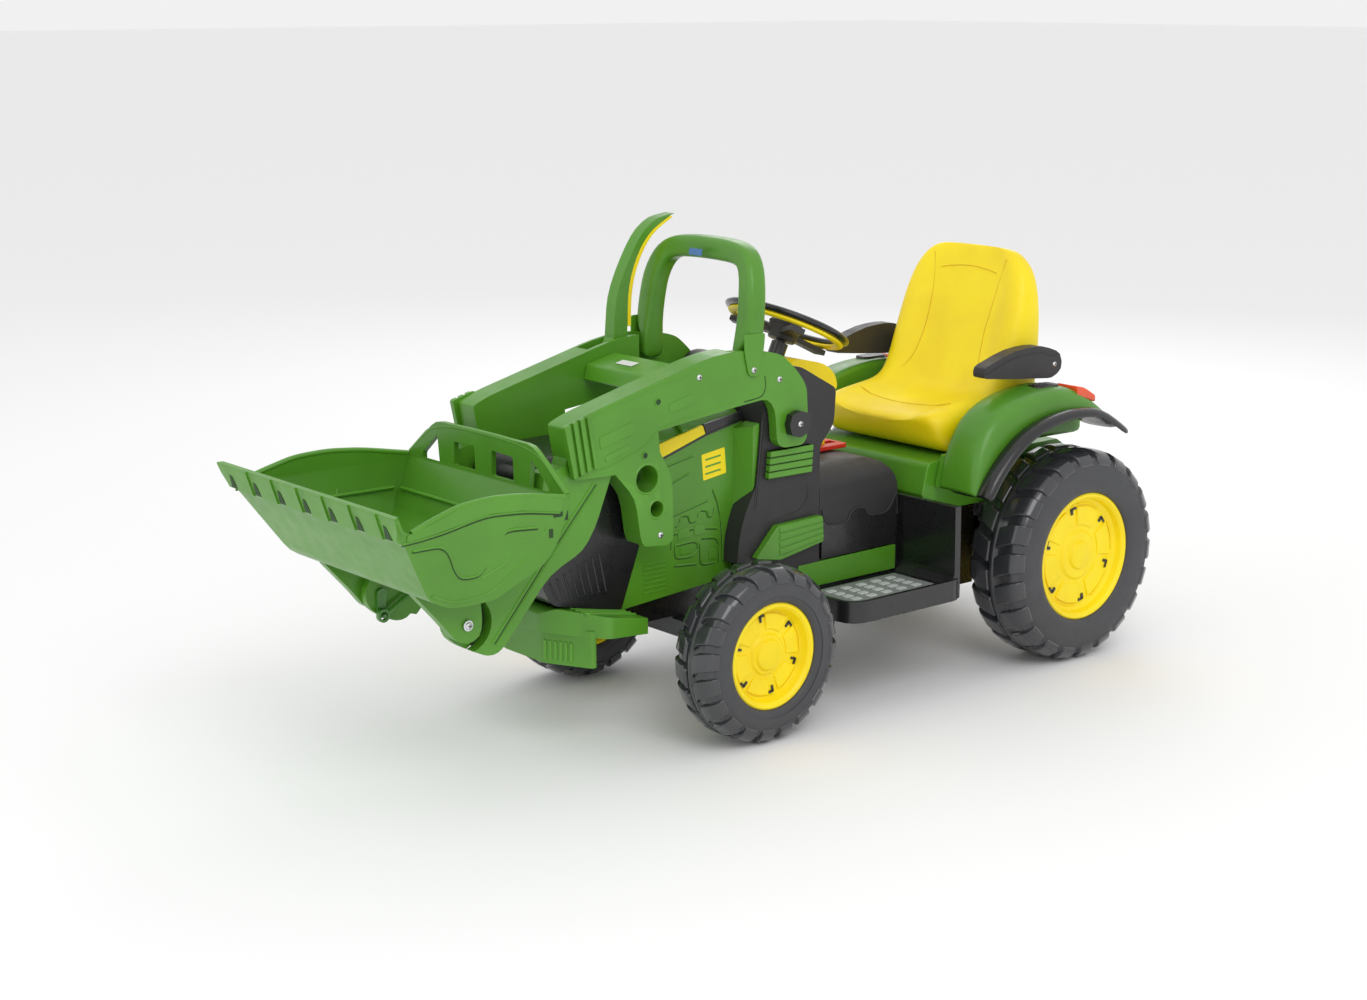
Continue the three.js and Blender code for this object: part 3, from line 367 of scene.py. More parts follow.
def tyre(name, body, side, radius, inner, width, rim, lugs):
    """A hard hollow tyre: smooth bulging walls, a parting ring and two rows of staggered tread blocks."""
    centre = (hinge_place(f"{body.replace('_wheel', '')}_spin")[0], radius)
    ground = radius - 7
    middle = width / 2
    half_profile = [
        (rim, 9), (rim + 2, 5), (rim + 8, 2.5), (rim + 18, 1.5), (radius - 46, 1), (radius - 34, 1.5),
        (radius - 25, 3.5), (radius - 17, 8), (radius - 10, 16), (ground - 0.5, 24), (ground, 34),
        (ground, middle - 5), (ground + 4, middle - 3), (ground + 4, middle - 1),
    ]
    profile = half_profile + [(r, width - y) for r, y in reversed(half_profile)]
    walls = [(r, side * (inner + y)) for r, y in profile]
    carcass = turned(f"{name}_tyre_body", centre, walls, 128, TYRE, body, sharp=70)
    carcass.data.materials.append(TREAD)
    for face in carcass.data.polygons:
        spots = [carcass.data.vertices[v].co for v in face.vertices]
        if min(math.hypot(p.x - AXLE_X - centre[0] / 1000,
                          p.z - radius / 1000) for p in spots) > (radius - 18) / 1000:
            face.material_index = 1
    stations = [
        (0.0, (radius - 1.5, middle + 7), (ground - 3, middle + 5)),
        (0.1, (radius - 0.3, middle + 10), (ground - 3, middle + 9)),
        (0.55, (radius, width - 36), (ground - 3, width - 37)),
        (0.8, (radius - 1, width - 24), (ground - 4, width - 27)),
        (0.93, (radius - 4.5, width - 14), (ground - 7, width - 20)),
        (1.0, (radius - 10, width - 7), (ground - 14, width - 14)),
        (1.03, (radius - 17, width - 3), (radius - 24, width - 9)),
        (1.05, (radius - 25, width - 1.2), (radius - 30, width - 7)),
    ]
    points, faces = [], []
    pitch = 2 * math.pi / lugs
    for row, y_of in enumerate((lambda y: side * (inner + y), lambda y: side * (inner + width - y))):
        for place in range(lugs):
            start = pitch * (place + 0.5 * row)
            made, made_faces = lug(start, stations, centre, 16 / radius, pitch * 0.36, y_of)
            faces += [tuple(v + len(points) for v in face) for face in made_faces]
            points += made
    tread = piece(f"{name}_tread_lugs", points, faces, TREAD, body, bevel=2.2)
    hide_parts(f"{name}_tyre")
    return carcass, tread


def ring_sector(centre, r0, r1, a0, a1, steps=6):
    """An outline in the side view between two radii and two angles."""
    x, z = centre
    angles = [a0 + (a1 - a0) * i / steps for i in range(steps + 1)]
    outer = [(x + r1 * math.cos(a), z + r1 * math.sin(a)) for a in angles]
    inner = [(x + r0 * math.cos(a), z + r0 * math.sin(a)) for a in reversed(angles)]
    return outer + inner


def rim(name, body, side, radius, inner, width, rim_radius):
    centre = (hinge_place(f"{body.replace('_wheel', '')}_spin")[0], radius)
    face = inner + width
    profile = [
        (0, face - 16), (20, face - 16), (24, face - 17.5), (27, face - 22), (rim_radius * 0.36, face - 22),
        (rim_radius * 0.40, face - 26), (rim_radius * 0.80, face - 28), (rim_radius - 14, face - 22),
        (rim_radius - 11, face - 12), (rim_radius - 7, face - 8), (rim_radius - 3, face - 7.5),
        (rim_radius - 0.3, face - 9), (rim_radius - 0.3, inner + 9), (rim_radius - 6, inner + 7),
        (rim_radius - 14, inner + 30), (30, inner + 30), (28, inner + 6), (12, inner + 6), (12, face - 40),
        (0, face - 40),
    ]
    disc = turned(f"{name}_rim_disc", centre, [(r, side * y) for r, y in profile], 96, YELLOW, body, sharp=28)
    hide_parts(f"{name}_rim")
    pads, slots = [], []
    windows = 6
    step = 2 * math.pi / windows
    low, high = rim_radius * 0.47, rim_radius * 0.77
    for i in range(windows):
        a = step * i + 0.3
        pad = ring_sector(centre, low, high, a + 0.16, a + step - 0.16)
        pads.append(prism(f"{name}_pad_{i}", "side", pad, side * (face - 29), side * (face - 24), YELLOW,
                          body,
                          bevel=1.6))
        # The black slots are painted shade: dark prisms standing in for the shade inside the rim's small openings.
        for r0, r1, a0, a1 in ((high - 12, high - 2, a - 0.035, a + 0.035),
                               (high - 4, high, a - 0.02, a + 0.14)):
            slot = ring_sector(centre, r0, r1, a0, a1, 3)
            slots.append(prism(f"{name}_slot_{i}", "side", slot, side * (face - 29), side * (face - 25.6),
                               BLACK,
                               body))
    arcs = [ring_sector(centre, high + 3, high + 6.5, step * i + 0.5, step * i + 1.1) for i in range(windows)]
    ridges = [prism(f"{name}_arc_{i}", "side", arc, side * (face - 29), side * (face - 24.6), YELLOW, body,
                    bevel=1) for i, arc in enumerate(arcs)]
    joined(f"{name}_rim_pads", pads + ridges)
    joined(f"{name}_rim_slot_shades", slots)


def wheels():
    for name, side in SIDES:
        for end, radius, inner, width, rim_radius, lugs in (
            ("rear", 195, 173, 125, 117, 22), ("front", 148, 188, 99, 89, 20),
        ):
            label = f"{end}_{name}"
            tyre(label, f"{label}_wheel", side, radius, inner, width, rim_radius, lugs)
            rim(label, f"{label}_wheel", side, radius, inner, width, rim_radius)


# ---- seat ----
SEAT_STATIONS = [  # front or top edge (x, z), under or back edge (x, z), half width
    ((257, 446), (248, 428), 118), ((255, 461), (236, 404), 146), ((238, 467), (214, 391), 156),
    ((205, 472), (180, 388), 161), ((165, 477), (135, 388), 164), ((130, 481), (85, 388), 164),
    ((106, 489), (35, 389), 163), ((91, 505), (2, 402), 162), ((80, 530), (-10, 440), 161),
    ((66, 568), (-16, 505), 160), ((51, 610), (-21, 565), 158), ((38, 648), (-24, 622), 154),
    ((26, 686), (-26, 676), 143), ((15, 714), (-25, 706), 126), ((6, 730), (-20, 725), 104),
    ((-2, 737), (-12, 735), 82),
]
SEAT_FRONT = [-1, -0.985, -0.93, -0.84, -0.72, -0.6, -0.4, -0.2, 0, 0.2, 0.4, 0.6, 0.72, 0.84, 0.93, 0.985, 1]
SEAT_DEPTH = {1: 0.5, 0.985: 0.26, 0.93: 0.08, 0.84: 0.0, 0.72: 0.03, 0.6: 0.15, 0.4: 0.18, 0.2: 0.19, 0: 0.2}


def seat_point(station, v, lift=0.0):
    """A point on the seat's front face: station along the seat, v from -1 to 1 across it."""
    low = min(int(station), len(SEAT_STATIONS) - 2)
    t = station - low
    front, back, half = [
        tuple(a + (b - a) * t for a, b in zip(p, q)) if isinstance(p, tuple) else p + (q - p) * t
        for p, q in zip(SEAT_STATIONS[low], SEAT_STATIONS[low + 1])
    ]
    span = sorted(SEAT_DEPTH)
    size = abs(v)
    near = max(k for k in span if k <= size + 1e-9)
    far = min(k for k in span if k >= size - 1e-9)
    share = 0 if far == near else (size - near) / (far - near)
    depth = SEAT_DEPTH[near] + (SEAT_DEPTH[far] - SEAT_DEPTH[near]) * share
    depth *= min(1.0, 60 / max(30.0, math.dist(front, back))) if size < 0.93 else 1.0
    run = (back[0] - front[0], back[1] - front[1])
    length = max(1e-6, math.hypot(*run))
    return (front[0] + run[0] * depth - run[0] / length * lift, half * v,
            front[1] + run[1] * depth - run[1] / length * lift)


def seat():
    """A moulded shell seat with side bolsters, a rolled front edge and a hollow back."""
    rings = []
    for i, (front, back, half) in enumerate(SEAT_STATIONS):
        ring = [seat_point(i, v) for v in SEAT_FRONT]
        for v in (0.985, 0.9, 0.8, 0.5, 0, -0.5, -0.8, -0.9, -0.985):
            hollow = 0.55 if abs(v) < 0.85 and 8 < i < 14 else 0.0
            rim_share = 0.85 if abs(v) > 0.95 else 1.0 - hollow
            ring.append((front[0] + (back[0] - front[0]) * rim_share, half * v,
                         front[1] + (back[1] - front[1]) * rim_share))
        rings.append(ring)
    points = [p for ring in rings for p in ring]
    count = len(rings[0])
    faces = []
    for i in range(len(rings) - 1):
        for k in range(count):
            here = i * count
            faces.append((here + k, here + (k + 1) % count, here + (k + 1) % count + count, here + k + count))
    faces += [tuple(range(count)), tuple(range((len(rings) - 1) * count, len(rings) * count))]
    shell = piece("seat_shell", points, faces, YELLOW, "seat", subdivide=2)
    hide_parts("seat")
    # The seam lines are darker yellow tubes: painted shade along the creases between bolsters, head and cushion.
    for sign in (-1, 1):
        path = [(6.0, 0.82), (7.0, 0.62), (8.2, 0.5), (9.5, 0.46), (11.0, 0.50), (12.2, 0.60), (13.2, 0.74)]
        line = softened([seat_point(s, sign * v, 0.2) for s, v in path])
        tube(f"seat_side_seam_{'left' if sign > 0 else 'right'}", line, 0.9, YELLOW_SEAM_SHADE, "seat", sides=6)
    head = [seat_point(12.2 + 0.3 * (1 - (v / 0.5) ** 2), v, 0.2) for v in (-0.5, -0.35, -0.15, 0, 0.15,
                                                                            0.35, 0.5)]
    tube("seat_head_seam", head, 0.9, YELLOW_SEAM_SHADE, "seat", sides=6)
    front = [seat_point(3.2 + 0.5 * (v / 0.7) ** 2, v, 0.2) for v in (-0.7, -0.5, -0.25, 0, 0.25, 0.5, 0.7)]
    tube("seat_cushion_seam", front, 0.9, YELLOW_SEAM_SHADE, "seat", sides=6)


# ---- steering ----
def steering_spot(angle, radius, lift):
    """A point by angle and radius in the steering wheel's plane, lifted along its axis."""
    x, y, z = hinge_place("steering")
    axis = Vector(JOINTS["steering"]["axis"]).normalized()
    ahead = Vector((axis.z, 0, -axis.x))
    left = Vector((0, 1, 0))
    spot = Vector((x, y, z)) + radius * (ahead * math.cos(angle) + left * math.sin(angle)) + axis * lift
    return tuple(spot)


def steering_ring(name, radius, centre_lift, wide, tall, material):
    around, sides = 72, 14
    points = []
    for i in range(around):
        angle = 2 * math.pi * i / around
        for k in range(sides):
            turn = 2 * math.pi * k / sides
            points.append(steering_spot(angle, radius + wide * math.cos(turn),
                                        centre_lift + tall * math.sin(turn)))
    faces = []
    for i in range(around):
        for k in range(sides):
            here, there = i * sides, (i + 1) % around * sides
            faces.append((here + k, here + (k + 1) % sides, there + (k + 1) % sides, there + k))
    return piece(name, points, faces, material, "steering_wheel", sharp=180)


def steering():
    grip = steering_ring("steering_grip", 102, 3.5, 11.5, 6.5, BLACK)
    steering_ring("steering_under_rim", 97, -5.5, 8.5, 4.5, YELLOW)
    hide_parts("steering_wheel_rim")
    around = 40
    layers = [(30, -4), (31, 0), (27, 5), (20, 7.5), (8, 8.5)]
    points = [steering_spot(2 * math.pi * i / around, r, lift) for r, lift in layers for i in range(around)]
    faces = [(j * around + i, j * around + (i + 1) % around, (j + 1) * around + (i + 1) % around,
              (j + 1) * around + i) for j in range(len(layers) - 1) for i in range(around)]
    faces += [tuple(range(around)), tuple(range((len(layers) - 1) * around, len(layers) * around))]
    piece("steering_cap", points, faces, CHARCOAL, "steering_wheel", sharp=40)


# ---- fasteners ----
def screw(name, x, z, face, side, radius, material, body):
    """A round-headed screw with a crossed recess on a side face."""
    y = lambda out: side * (face + out)
    profile = [(0, y(3.2)), (radius * 0.35, y(3.1)), (radius * 0.7, y(2.4)), (radius * 0.95, y(1.2)),
               (radius, y(0.3)), (radius, y(-1)), (0, y(-1))]
    head = turned(name, (x, z), profile, 24, material, body, sharp=50)
    arms = []
    # The crossed recess is a black cross raised on the head: painted shade for the recess.
    for tall, wide in ((radius * 0.5, radius * 0.12), (radius * 0.12, radius * 0.5)):
        outline = [(x - wide, z - tall), (x + wide, z - tall), (x + wide, z + tall), (x - wide, z + tall)]
        arms.append(prism(f"{name}_arm", "side", outline, y(2.2), y(3.45), BLACK, body))
    joined(f"{name}_recess", arms)
    return head


def dimple(name, x, z, face, side, radius, material, rim_material, body):
    """A shallow round socket: a raised collar round a darker floor, painted shade for the socket."""
    y = lambda out: side * (face + out)
    collar = [(radius, y(-0.5)), (radius, y(0.9)), (radius - 1.2, y(1.1)), (radius - 2.2, y(0.4)),
              (radius - 2.2, y(-0.5))]
    turned(f"{name}_collar", (x, z), collar, 24, rim_material, body)
    turned(f"{name}_floor", (x, z), [(0, y(0.25)), (radius - 2, y(0.25)), (radius - 2, y(-0.5)),
                                     (0, y(-0.5))], 24,
           material, body)


# ---- hood and nose ----
def hood_details(name, side):
    y0, y1 = side * (HOOD_FACE - 4), side * (HOOD_FACE + 0.9)
    yellow = [(838, 477), (740, 499), (734, 484), (829, 455)]
    prism(f"hood_stripe_{name}", "side", yellow, y0, y1, YELLOW, "tractor", radius=2, bevel=0.4)
    black = [(738, 500), (654, 512), (654, 500), (732, 484)]
    prism(f"hood_stripe_tail_{name}", "side", black, y0, y1, BLACK, "tractor", radius=1, bevel=0.4)
    line = [(828, 451), (732, 480), (654, 496), (654, 499), (733, 483), (829, 454)]
    prism(f"hood_stripe_line_{name}", "side", line, y0, y1, BLACK, "tractor")
    label = [(738, 405), (742, 449), (692, 456), (688, 412)]
    prism(f"hood_label_{name}", "side", label, y0, side * (HOOD_FACE + 0.5), YELLOW, "tractor", radius=2)
    bars = []
    for i in range(3):
        z = 440 - 12 * i
        outline = [(734, z - 2), (734.5, z + 1), (700.5, z + 5), (700, z + 2)]
        bars.append(prism("bar", "side", outline, y0, side * (HOOD_FACE + 0.8), GREEN, "tractor", radius=2))
    joined(f"hood_label_bars_{name}", bars)
    engine_relief(name, side)
    ribs = []
    for i in range(7):
        z = 232 + 8 * i
        ribs.append(prism("rib", "side", [(818, z), (866, z), (866, z + 3), (818, z + 3)], y0,
                          side * (HOOD_FACE + 1.2), GREEN, "tractor", bevel=0.6))
    for x0, z0, x1, z1 in ((760, 452, 826, 440), (770, 424, 812, 410), (728, 372, 806, 356)):
        ribs.append(prism("rib", "side", [(x0, z0), (x1, z1), (x1, z1 - 2.5), (x0, z0 - 2.5)], y0,
                          side * (HOOD_FACE + 1), GREEN, "tractor", bevel=0.5))
    joined(f"hood_ribs_{name}", ribs)
    # Dark green lines along the ribs' lower edges: painted shade under the ribs.
    lines = []
    for x0, z0, x1, z1 in ((760, 449, 826, 437), (770, 421, 812, 407), (728, 369, 806, 353)):
        lines.append(tube("line", [(x0, side * (HOOD_FACE - 0.2), z0), (x1, side * (HOOD_FACE - 0.2), z1)],
                          0.9,
                          GREEN_PAINTED_SHADE, "tractor", sides=6))
    joined(f"hood_shade_lines_{name}", lines)


def engine_relief(name, side):
    """The raised outline of an engine block moulded into the hood's side."""
    y = side * (HOOD_FACE - 0.4)
    paths = [
        [(716, 388), (704, 360), (696, 320), (694, 262)],
        [(806, 300), (804, 336), (790, 338), (786, 352), (770, 352), (766, 338), (750, 340), (746, 356),
         (730, 355),
         (726, 342), (716, 344), (712, 358)],
        [(800, 324), (760, 328), (706, 320)],
        [(798, 304), (752, 306), (748, 290), (762, 280), (798, 282), (798, 304)],
        [(740, 308), (704, 304), (702, 262)],
        [(744, 300), (744, 262), (712, 262)],
        [(800, 270), (752, 266)],
    ]
    beads = [tube("bead", softened([(x, y, z) for x, z in path]), 1.6, GREEN, "tractor",
                  sides=8) for path in paths]
    joined(f"engine_relief_{name}", beads)
    shadows = [tube("line", softened([(x + 2, side * (HOOD_FACE - 0.3), z - 2.2) for x, z in path]), 0.9,
                    GREEN_PAINTED_SHADE,
                    "tractor", sides=6) for path in paths]
    joined(f"engine_shadow_{name}", shadows)
    pads = []
    for outline in ([(794, 312), (768, 314), (768, 332), (792, 330)],
                    [(758, 314), (734, 314), (734, 332), (758, 332)],
                    [(726, 286), (710, 286), (710, 268), (726, 268)],
                    [(788, 286), (764, 286), (764, 300), (788, 298)]):
        pads.append(prism("pad", "side", outline, side * (HOOD_FACE - 3), side * (HOOD_FACE + 1.4), GREEN,
                          "tractor",
                          radius=3, bevel=1))
    joined(f"engine_pads_{name}", pads)


def nose_details():
    """Upright louvres on the flanks of the black nose and level bars across its front."""
    for name, side in SIDES:
        fins = []
        for i in range(8):
            x = 944 + 14 * i
            spots = [(x, side * (HOOD_FACE - 0.6), 252), (x + 14, side * (HOOD_FACE - 0.6), 318 - 5 * i)]
            fins.append(tube("fin", spots, 2.4, BLACK, "tractor"))
        joined(f"nose_louvres_{name}", fins)
    bars = []
    for i in range(8):
        z = 300 + 18 * i
        x = 1070 + (z - 272) * 10 / 168
        outline = [(x - 4, z), (x + 2.2, z + 1), (x + 2.2, z + 5), (x - 4, z + 6)]
        bars.append(prism("bar", "side", outline, -62, 62, BLACK, "tractor", bevel=0.8))
    joined("nose_bars", bars)


# ---- cowl, tunnel and foot wells ----
def slats(name, top, bottom, count, y0, y1, side, material):
    """Level ribs between a top edge and a bottom edge, each given as two points of the side view."""
    made = []
    for i in range(count):
        edges = []
        for f in (i / count, (i + 0.82) / count):
            edges.append([(t[0] + (b[0] - t[0]) * f, t[1] + (b[1] - t[1]) * f) for t, b in zip(top, bottom)])
        outline = [edges[0][0], edges[0][1], edges[1][1], edges[1][0]]
        made.append(prism("slat", "side", outline, side * y0, side * y1, material, "tractor", bevel=1.2))
    return joined(name, made)


def cowl_details(name, side):
    # The backing behind the ribs is dark green: painted shade between the slats.
    backing = [(536, 399), (634, 399), (630, 447), (534, 447)]
    prism(f"cowl_block_{name}", "side", backing, side * (TUNNEL_FACE + 0.2), side * (TUNNEL_FACE + 9),
          GREEN_PAINTED_SHADE,
          "tractor", bevel=1)
    slats(f"cowl_block_ribs_{name}", [(533, 447), (630, 447)], [(536, 398), (635, 399)], 4, TUNNEL_FACE + 0.2,
          TUNNEL_FACE + 11, side, GREEN)
    slats(f"cowl_insert_ribs_{name}", [(513, 319), (612, 316)], [(510, 279), (612, 264)], 4, TUNNEL_FACE + 12,
          TUNNEL_FACE + 15.5, side, GREEN)
    # The seam is a thin black tube on the charcoal side: painted shade in the joint between panels.
    seam = [(534, 380), (536, 352), (556, 333), (598, 328), (640, 322)]
    tube(f"cowl_seam_shade_{name}", softened([(x, side * TUNNEL_FACE, z) for x, z in seam]), 0.9, BLACK,
         "tractor", sides=6)
    scallops = [
        (502, 326), (496, 306, 6), (484, 298, 6), (441, 296, 6), (434, 312, 6), (421, 319, 6), (399, 316, 6),
        (390, 300, 6), (350, 299, 6), (337, 308, 6), (322, 334, 4), (322, 240), (502, 240),
    ]
    prism(f"tunnel_skirt_{name}", "side", scallops, side * (CHASSIS_FACE + 0.3), side * (TUNNEL_FACE + 1.2),
          BLACK,
          "tractor", bevel=0.8)
    edge = [(x, side * (TUNNEL_FACE + 1), z) for x, z, *_ in scallops[:11]]
    tube(f"tunnel_skirt_edge_{name}", softened(edge), 1.6, CHARCOAL, "tractor")
    # A black tube in the upright gap at the cowl's front edge: painted shade for the gap.
    gap = [(640, 500), (648, 420), (656, 350)]
    tube(f"cowl_gap_shade_{name}", softened([(x, side * 123.5, z) for x, z in gap]), 3.2, BLACK, "tractor")
    strip = [(322, 194), (556, 194), (556, 236), (322, 238)]
    prism(f"side_strip_{name}", "side", strip, side * (CHASSIS_FACE + 0.2), side * (TUNNEL_FACE + 1.6), GREEN,
          "tractor", radius=2, bevel=0.8)


def step_tread(name):
    """Rows of raised studs on each grey foot mat."""
    low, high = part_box(f"foot_mat_{name}")
    x0, x1 = (low.x - AXLE_X) * 1000 + 14, (high.x - AXLE_X) * 1000 - 14
    y0, y1 = low.y * 1000 + 12, high.y * 1000 - 12
    top = high.z * 1000
    columns, rows = 5, 4
    studs = []
    for i in range(columns):
        for k in range(rows):
            x = x0 + (x1 - x0) * (i + 0.5) / columns
            y = y0 + (y1 - y0) * (k + 0.5) / rows
            long, wide = 9.5, 6.5
            outline = [(x - long, y - wide, 3), (x + long, y - wide, 3), (x + long, y + wide, 3),
                       (x - long, y + wide, 3)]
            studs.append(prism("stud", "plan", outline, top - 1, top + 1.6, MAT_STUD, "tractor", bevel=0.7))
    joined(f"foot_studs_{name}", studs)


# ---- fenders ----
ARCH_LINE = [(264, 336), (248, 364), (222, 392), (190, 420), (150, 442), (105, 456), (60, 462), (15, 462),
             (-30, 456),
             (-68, 438), (-104, 415)]
CROWN_LINE = [(269, 340), (262, 385), (250, 418), (234, 448), (208, 474), (160, 493), (105, 502), (45, 505),
              (0, 499),
              (-50, 470), (-104, 428)]


def lofted(name, rows, thickness, material, body, inward):
    """A curved sheet through rows of points, given thickness."""
    count = len(rows[0])
    points = [p for row in rows for p in row]
    faces = [(i * count + k, i * count + k + 1, (i + 1) * count + k + 1, (i + 1) * count + k)
             for i in range(len(rows) - 1) for k in range(count - 1)]
    sheet = piece(name, points, faces, material, body, sharp=180)
    shell = sheet.modifiers.new("wall", "SOLIDIFY")
    shell.thickness = thickness / 1000
    shell.offset = -1 if inward else 1
    smooth = sheet.modifiers.new("smooth", "SUBSURF")
    smooth.levels = 1
    smooth.render_levels = 1
    return sheet


def toward(first, second, share):
    return tuple(a + (b - a) * share for a, b in zip(first, second))


def fender(name, side):
    rows = []
    for crown, arch in zip(CROWN_LINE, ARCH_LINE):
        row = []
        foot = min(397, arch[1] + 6)
        row.append((arch[0], side * (FENDER_INNER + 1.5), foot))
        row.append((toward(crown, arch, 0.5)[0], side * (FENDER_INNER + 1), (crown[1] + foot) / 2))
        for y, share in ((FENDER_INNER, 0.1), (FENDER_INNER + 2, 0.0), (205, -0.02),
                         (230, 0.02), (246, 0.08), (254, 0.2), (259, 0.45), (261.5, 0.75),
                         (FENDER_OUTER, 1.0)):
            x, z = toward(crown, arch, share)
            row.append((x, side * y, z))
        rows.append(row)
    crown = lofted(f"fender_skin_{name}", rows, 3.5, GREEN, "tractor", side < 0)
    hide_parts(f"fender_{name}")
    flange = [(262, 340), (267, 341), (252, 398), (238, 398)]
    prism(f"fender_flange_{name}", "side", flange, side * 165, side * (FENDER_INNER + 6), GREEN, "tractor",
          bevel=1.5)
    inset = [(80, 202, 12), (80, 236, 12), (20, 236, 12), (20, 202, 12)]
    pad = [(x, side * y, r) for x, y, r in inset]
    prism(f"fender_inset_{name}", "plan", pad, 496, 507.5, BLACK, "tractor", bevel=2)


def mud_flap(name, side):
    rows = []
    for i, (x, z) in enumerate(ARCH_LINE):
        rise = 7 if i < len(ARCH_LINE) - 2 else 3
        centre = Vector((30, 0, 215))
        out = (Vector((x, 0, z)) - centre).normalized()
        row = []
        for y, lift in ((186, -5), (225, -4), (258, -3), (264, 1), (278, rise), (290, rise - 1),
                        (295, rise - 6),
                        (295.5, rise - 14)):
            spot = Vector((x, 0, z)) + out * lift
            row.append((spot.x, side * y, spot.z))
        rows.append(row)
    flap = lofted(f"mud_flap_skin_{name}", rows, 3, BLACK, "tractor", side < 0)
    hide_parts(f"mud_flap_{name}")


# ---- loader ----
def arm_details(name, side):
    for label, x, z, out in (("top", 796, 592, 0), ("heel", 622, 570, 0), ("hoop", 682, 592, 3.5),
                             ("foot", 877, 345, 0)):
        screw(f"screw_{label}_{name}", x, z, ARM_FACE + out, side, 5.5, STEEL, "loader_boom")
    for label, x, z in (("a", 881, 562), ("b", 908, 479)):
        dimple(f"socket_{label}_{name}", x, z, ARM_FACE, side, 7, GREEN_PAINTED_SHADE, GREEN, "loader_boom")
    groove = [(992, 438), (1093, 328), (1190, 216)]
    # Dark green line, crescent and seam: painted shade along the leg's groove, in the clearance round the bucket's
    # ear and in the heel seam.
    dark = [tube("line", [(x + 9, side * (LEG_FACE - 0.2), z + 6) for x, z in groove], 1.1, GREEN_PAINTED_SHADE,
                 "loader_boom")]
    ring = ring_sector((1248.5, 261), 38, 44.6, math.radians(60), math.radians(245), 18)
    dark.append(prism("gap", "side", ring, side * 118.3, side * 119.0, GREEN_PAINTED_SHADE, "loader_boom"))
    seam = [(700, 541), (660, 545), (652, 560), (655, 580)]
    dark.append(tube("line", softened([(x, side * (ARM_FACE - 0.2), z) for x, z in seam]), 1.0, GREEN_PAINTED_SHADE,
                     "loader_boom"))
    joined(f"arm_shade_lines_{name}", dark)
    beads = [tube("bead", [(x + 5, side * (LEG_FACE - 0.3), z + 4) for x, z in groove], 1.6, GREEN,
                  "loader_boom"),
             tube("bead", [(x + 14, side * (LEG_FACE - 0.3), z + 9) for x, z in groove], 1.6, GREEN,
                  "loader_boom")]
    edge = [(1040, 545), (1000, 558), (800, 607)]
    beads.append(tube("bead", [(x, side * (ARM_FACE - 0.4), z) for x, z in edge], 1.6, GREEN, "loader_boom"))
    under = [(1040, 470), (990, 468), (900, 497), (880, 522), (720, 545)]
    beads.append(tube("bead", softened([(x, side * (ARM_FACE - 0.4), z) for x, z in under]), 1.4, GREEN,
                      "loader_boom"))
    joined(f"arm_beads_{name}", beads)
    pads = []
    for outline in ([(1000, 520), (930, 538), (928, 518), (998, 500)],
                    [(860, 556), (810, 568), (808, 552), (858, 540)],
                    [(990, 488), (940, 502), (938, 492), (988, 478)]):
        pads.append(prism("pad", "side", outline, side * (ARM_FACE - 2), side * (ARM_FACE + 1), GREEN,
                          "loader_boom",
                          radius=5, bevel=0.8))
    joined(f"arm_pads_{name}", pads)
    # Dark green patches on the leg: painted shade in its small recesses.
    marks = []
    for x, z, w, h in ((1085, 412, 9, 5), (1060, 404, 4, 8), (1083, 378, 4, 7)):
        outline = [(x - w, z - h), (x + w, z - h), (x + w, z + h), (x - w, z + h)]
        marks.append(prism("mark", "side", outline, side * (LEG_FACE - 2), side * (LEG_FACE + 0.5),
                           GREEN_PAINTED_SHADE,
                           "loader_boom", radius=2))
    joined(f"leg_recess_shades_{name}", marks)
    rims = []
    for x, z, radius in ((905, 441, 22), (885, 389, 13)):
        y = lambda out: side * (ARM_FACE + out)
        lip = [(radius + 0.4, y(-1)), (radius + 0.4, y(1)), (radius + 2.6, y(1.2)), (radius + 4, y(0)),
               (radius + 4, y(-1))]
        rims.append(turned("lip", (x, z), lip, 32, GREEN, "loader_boom"))
    joined(f"arm_hole_lips_{name}", rims)


HOOP_PATH = [  # centre (y, z), width in the hoop's plane
    (118.6, 578, 17.5), (118.6, 606, 17.5), (118.8, 624, 18), (128.6, 642, 40), (129, 668, 40),
    (127.5, 695, 39.5),
    (124, 722, 39), (116, 746, 38), (104, 763, 38), (88, 772, 38), (66, 776, 38), (35, 777.5, 38.5),
    (0, 778, 38.5),
]
HOOP_DEPTH = [(576, 680, 46), (620, 678.5, 42), (670, 671.5, 38), (723, 664.5, 38), (762, 654, 38),
              (780, 644, 38)]


def hoop_depth(z):
    """The hoop's centre and its depth along x at a height."""
    for low, high in zip(HOOP_DEPTH, HOOP_DEPTH[1:]):
        if z <= high[0]:
            t = max(0.0, (z - low[0]) / (high[0] - low[0]))
            return low[1] + (high[1] - low[1]) * t, low[2] + (high[2] - low[2]) * t
    return HOOP_DEPTH[-1][1:]


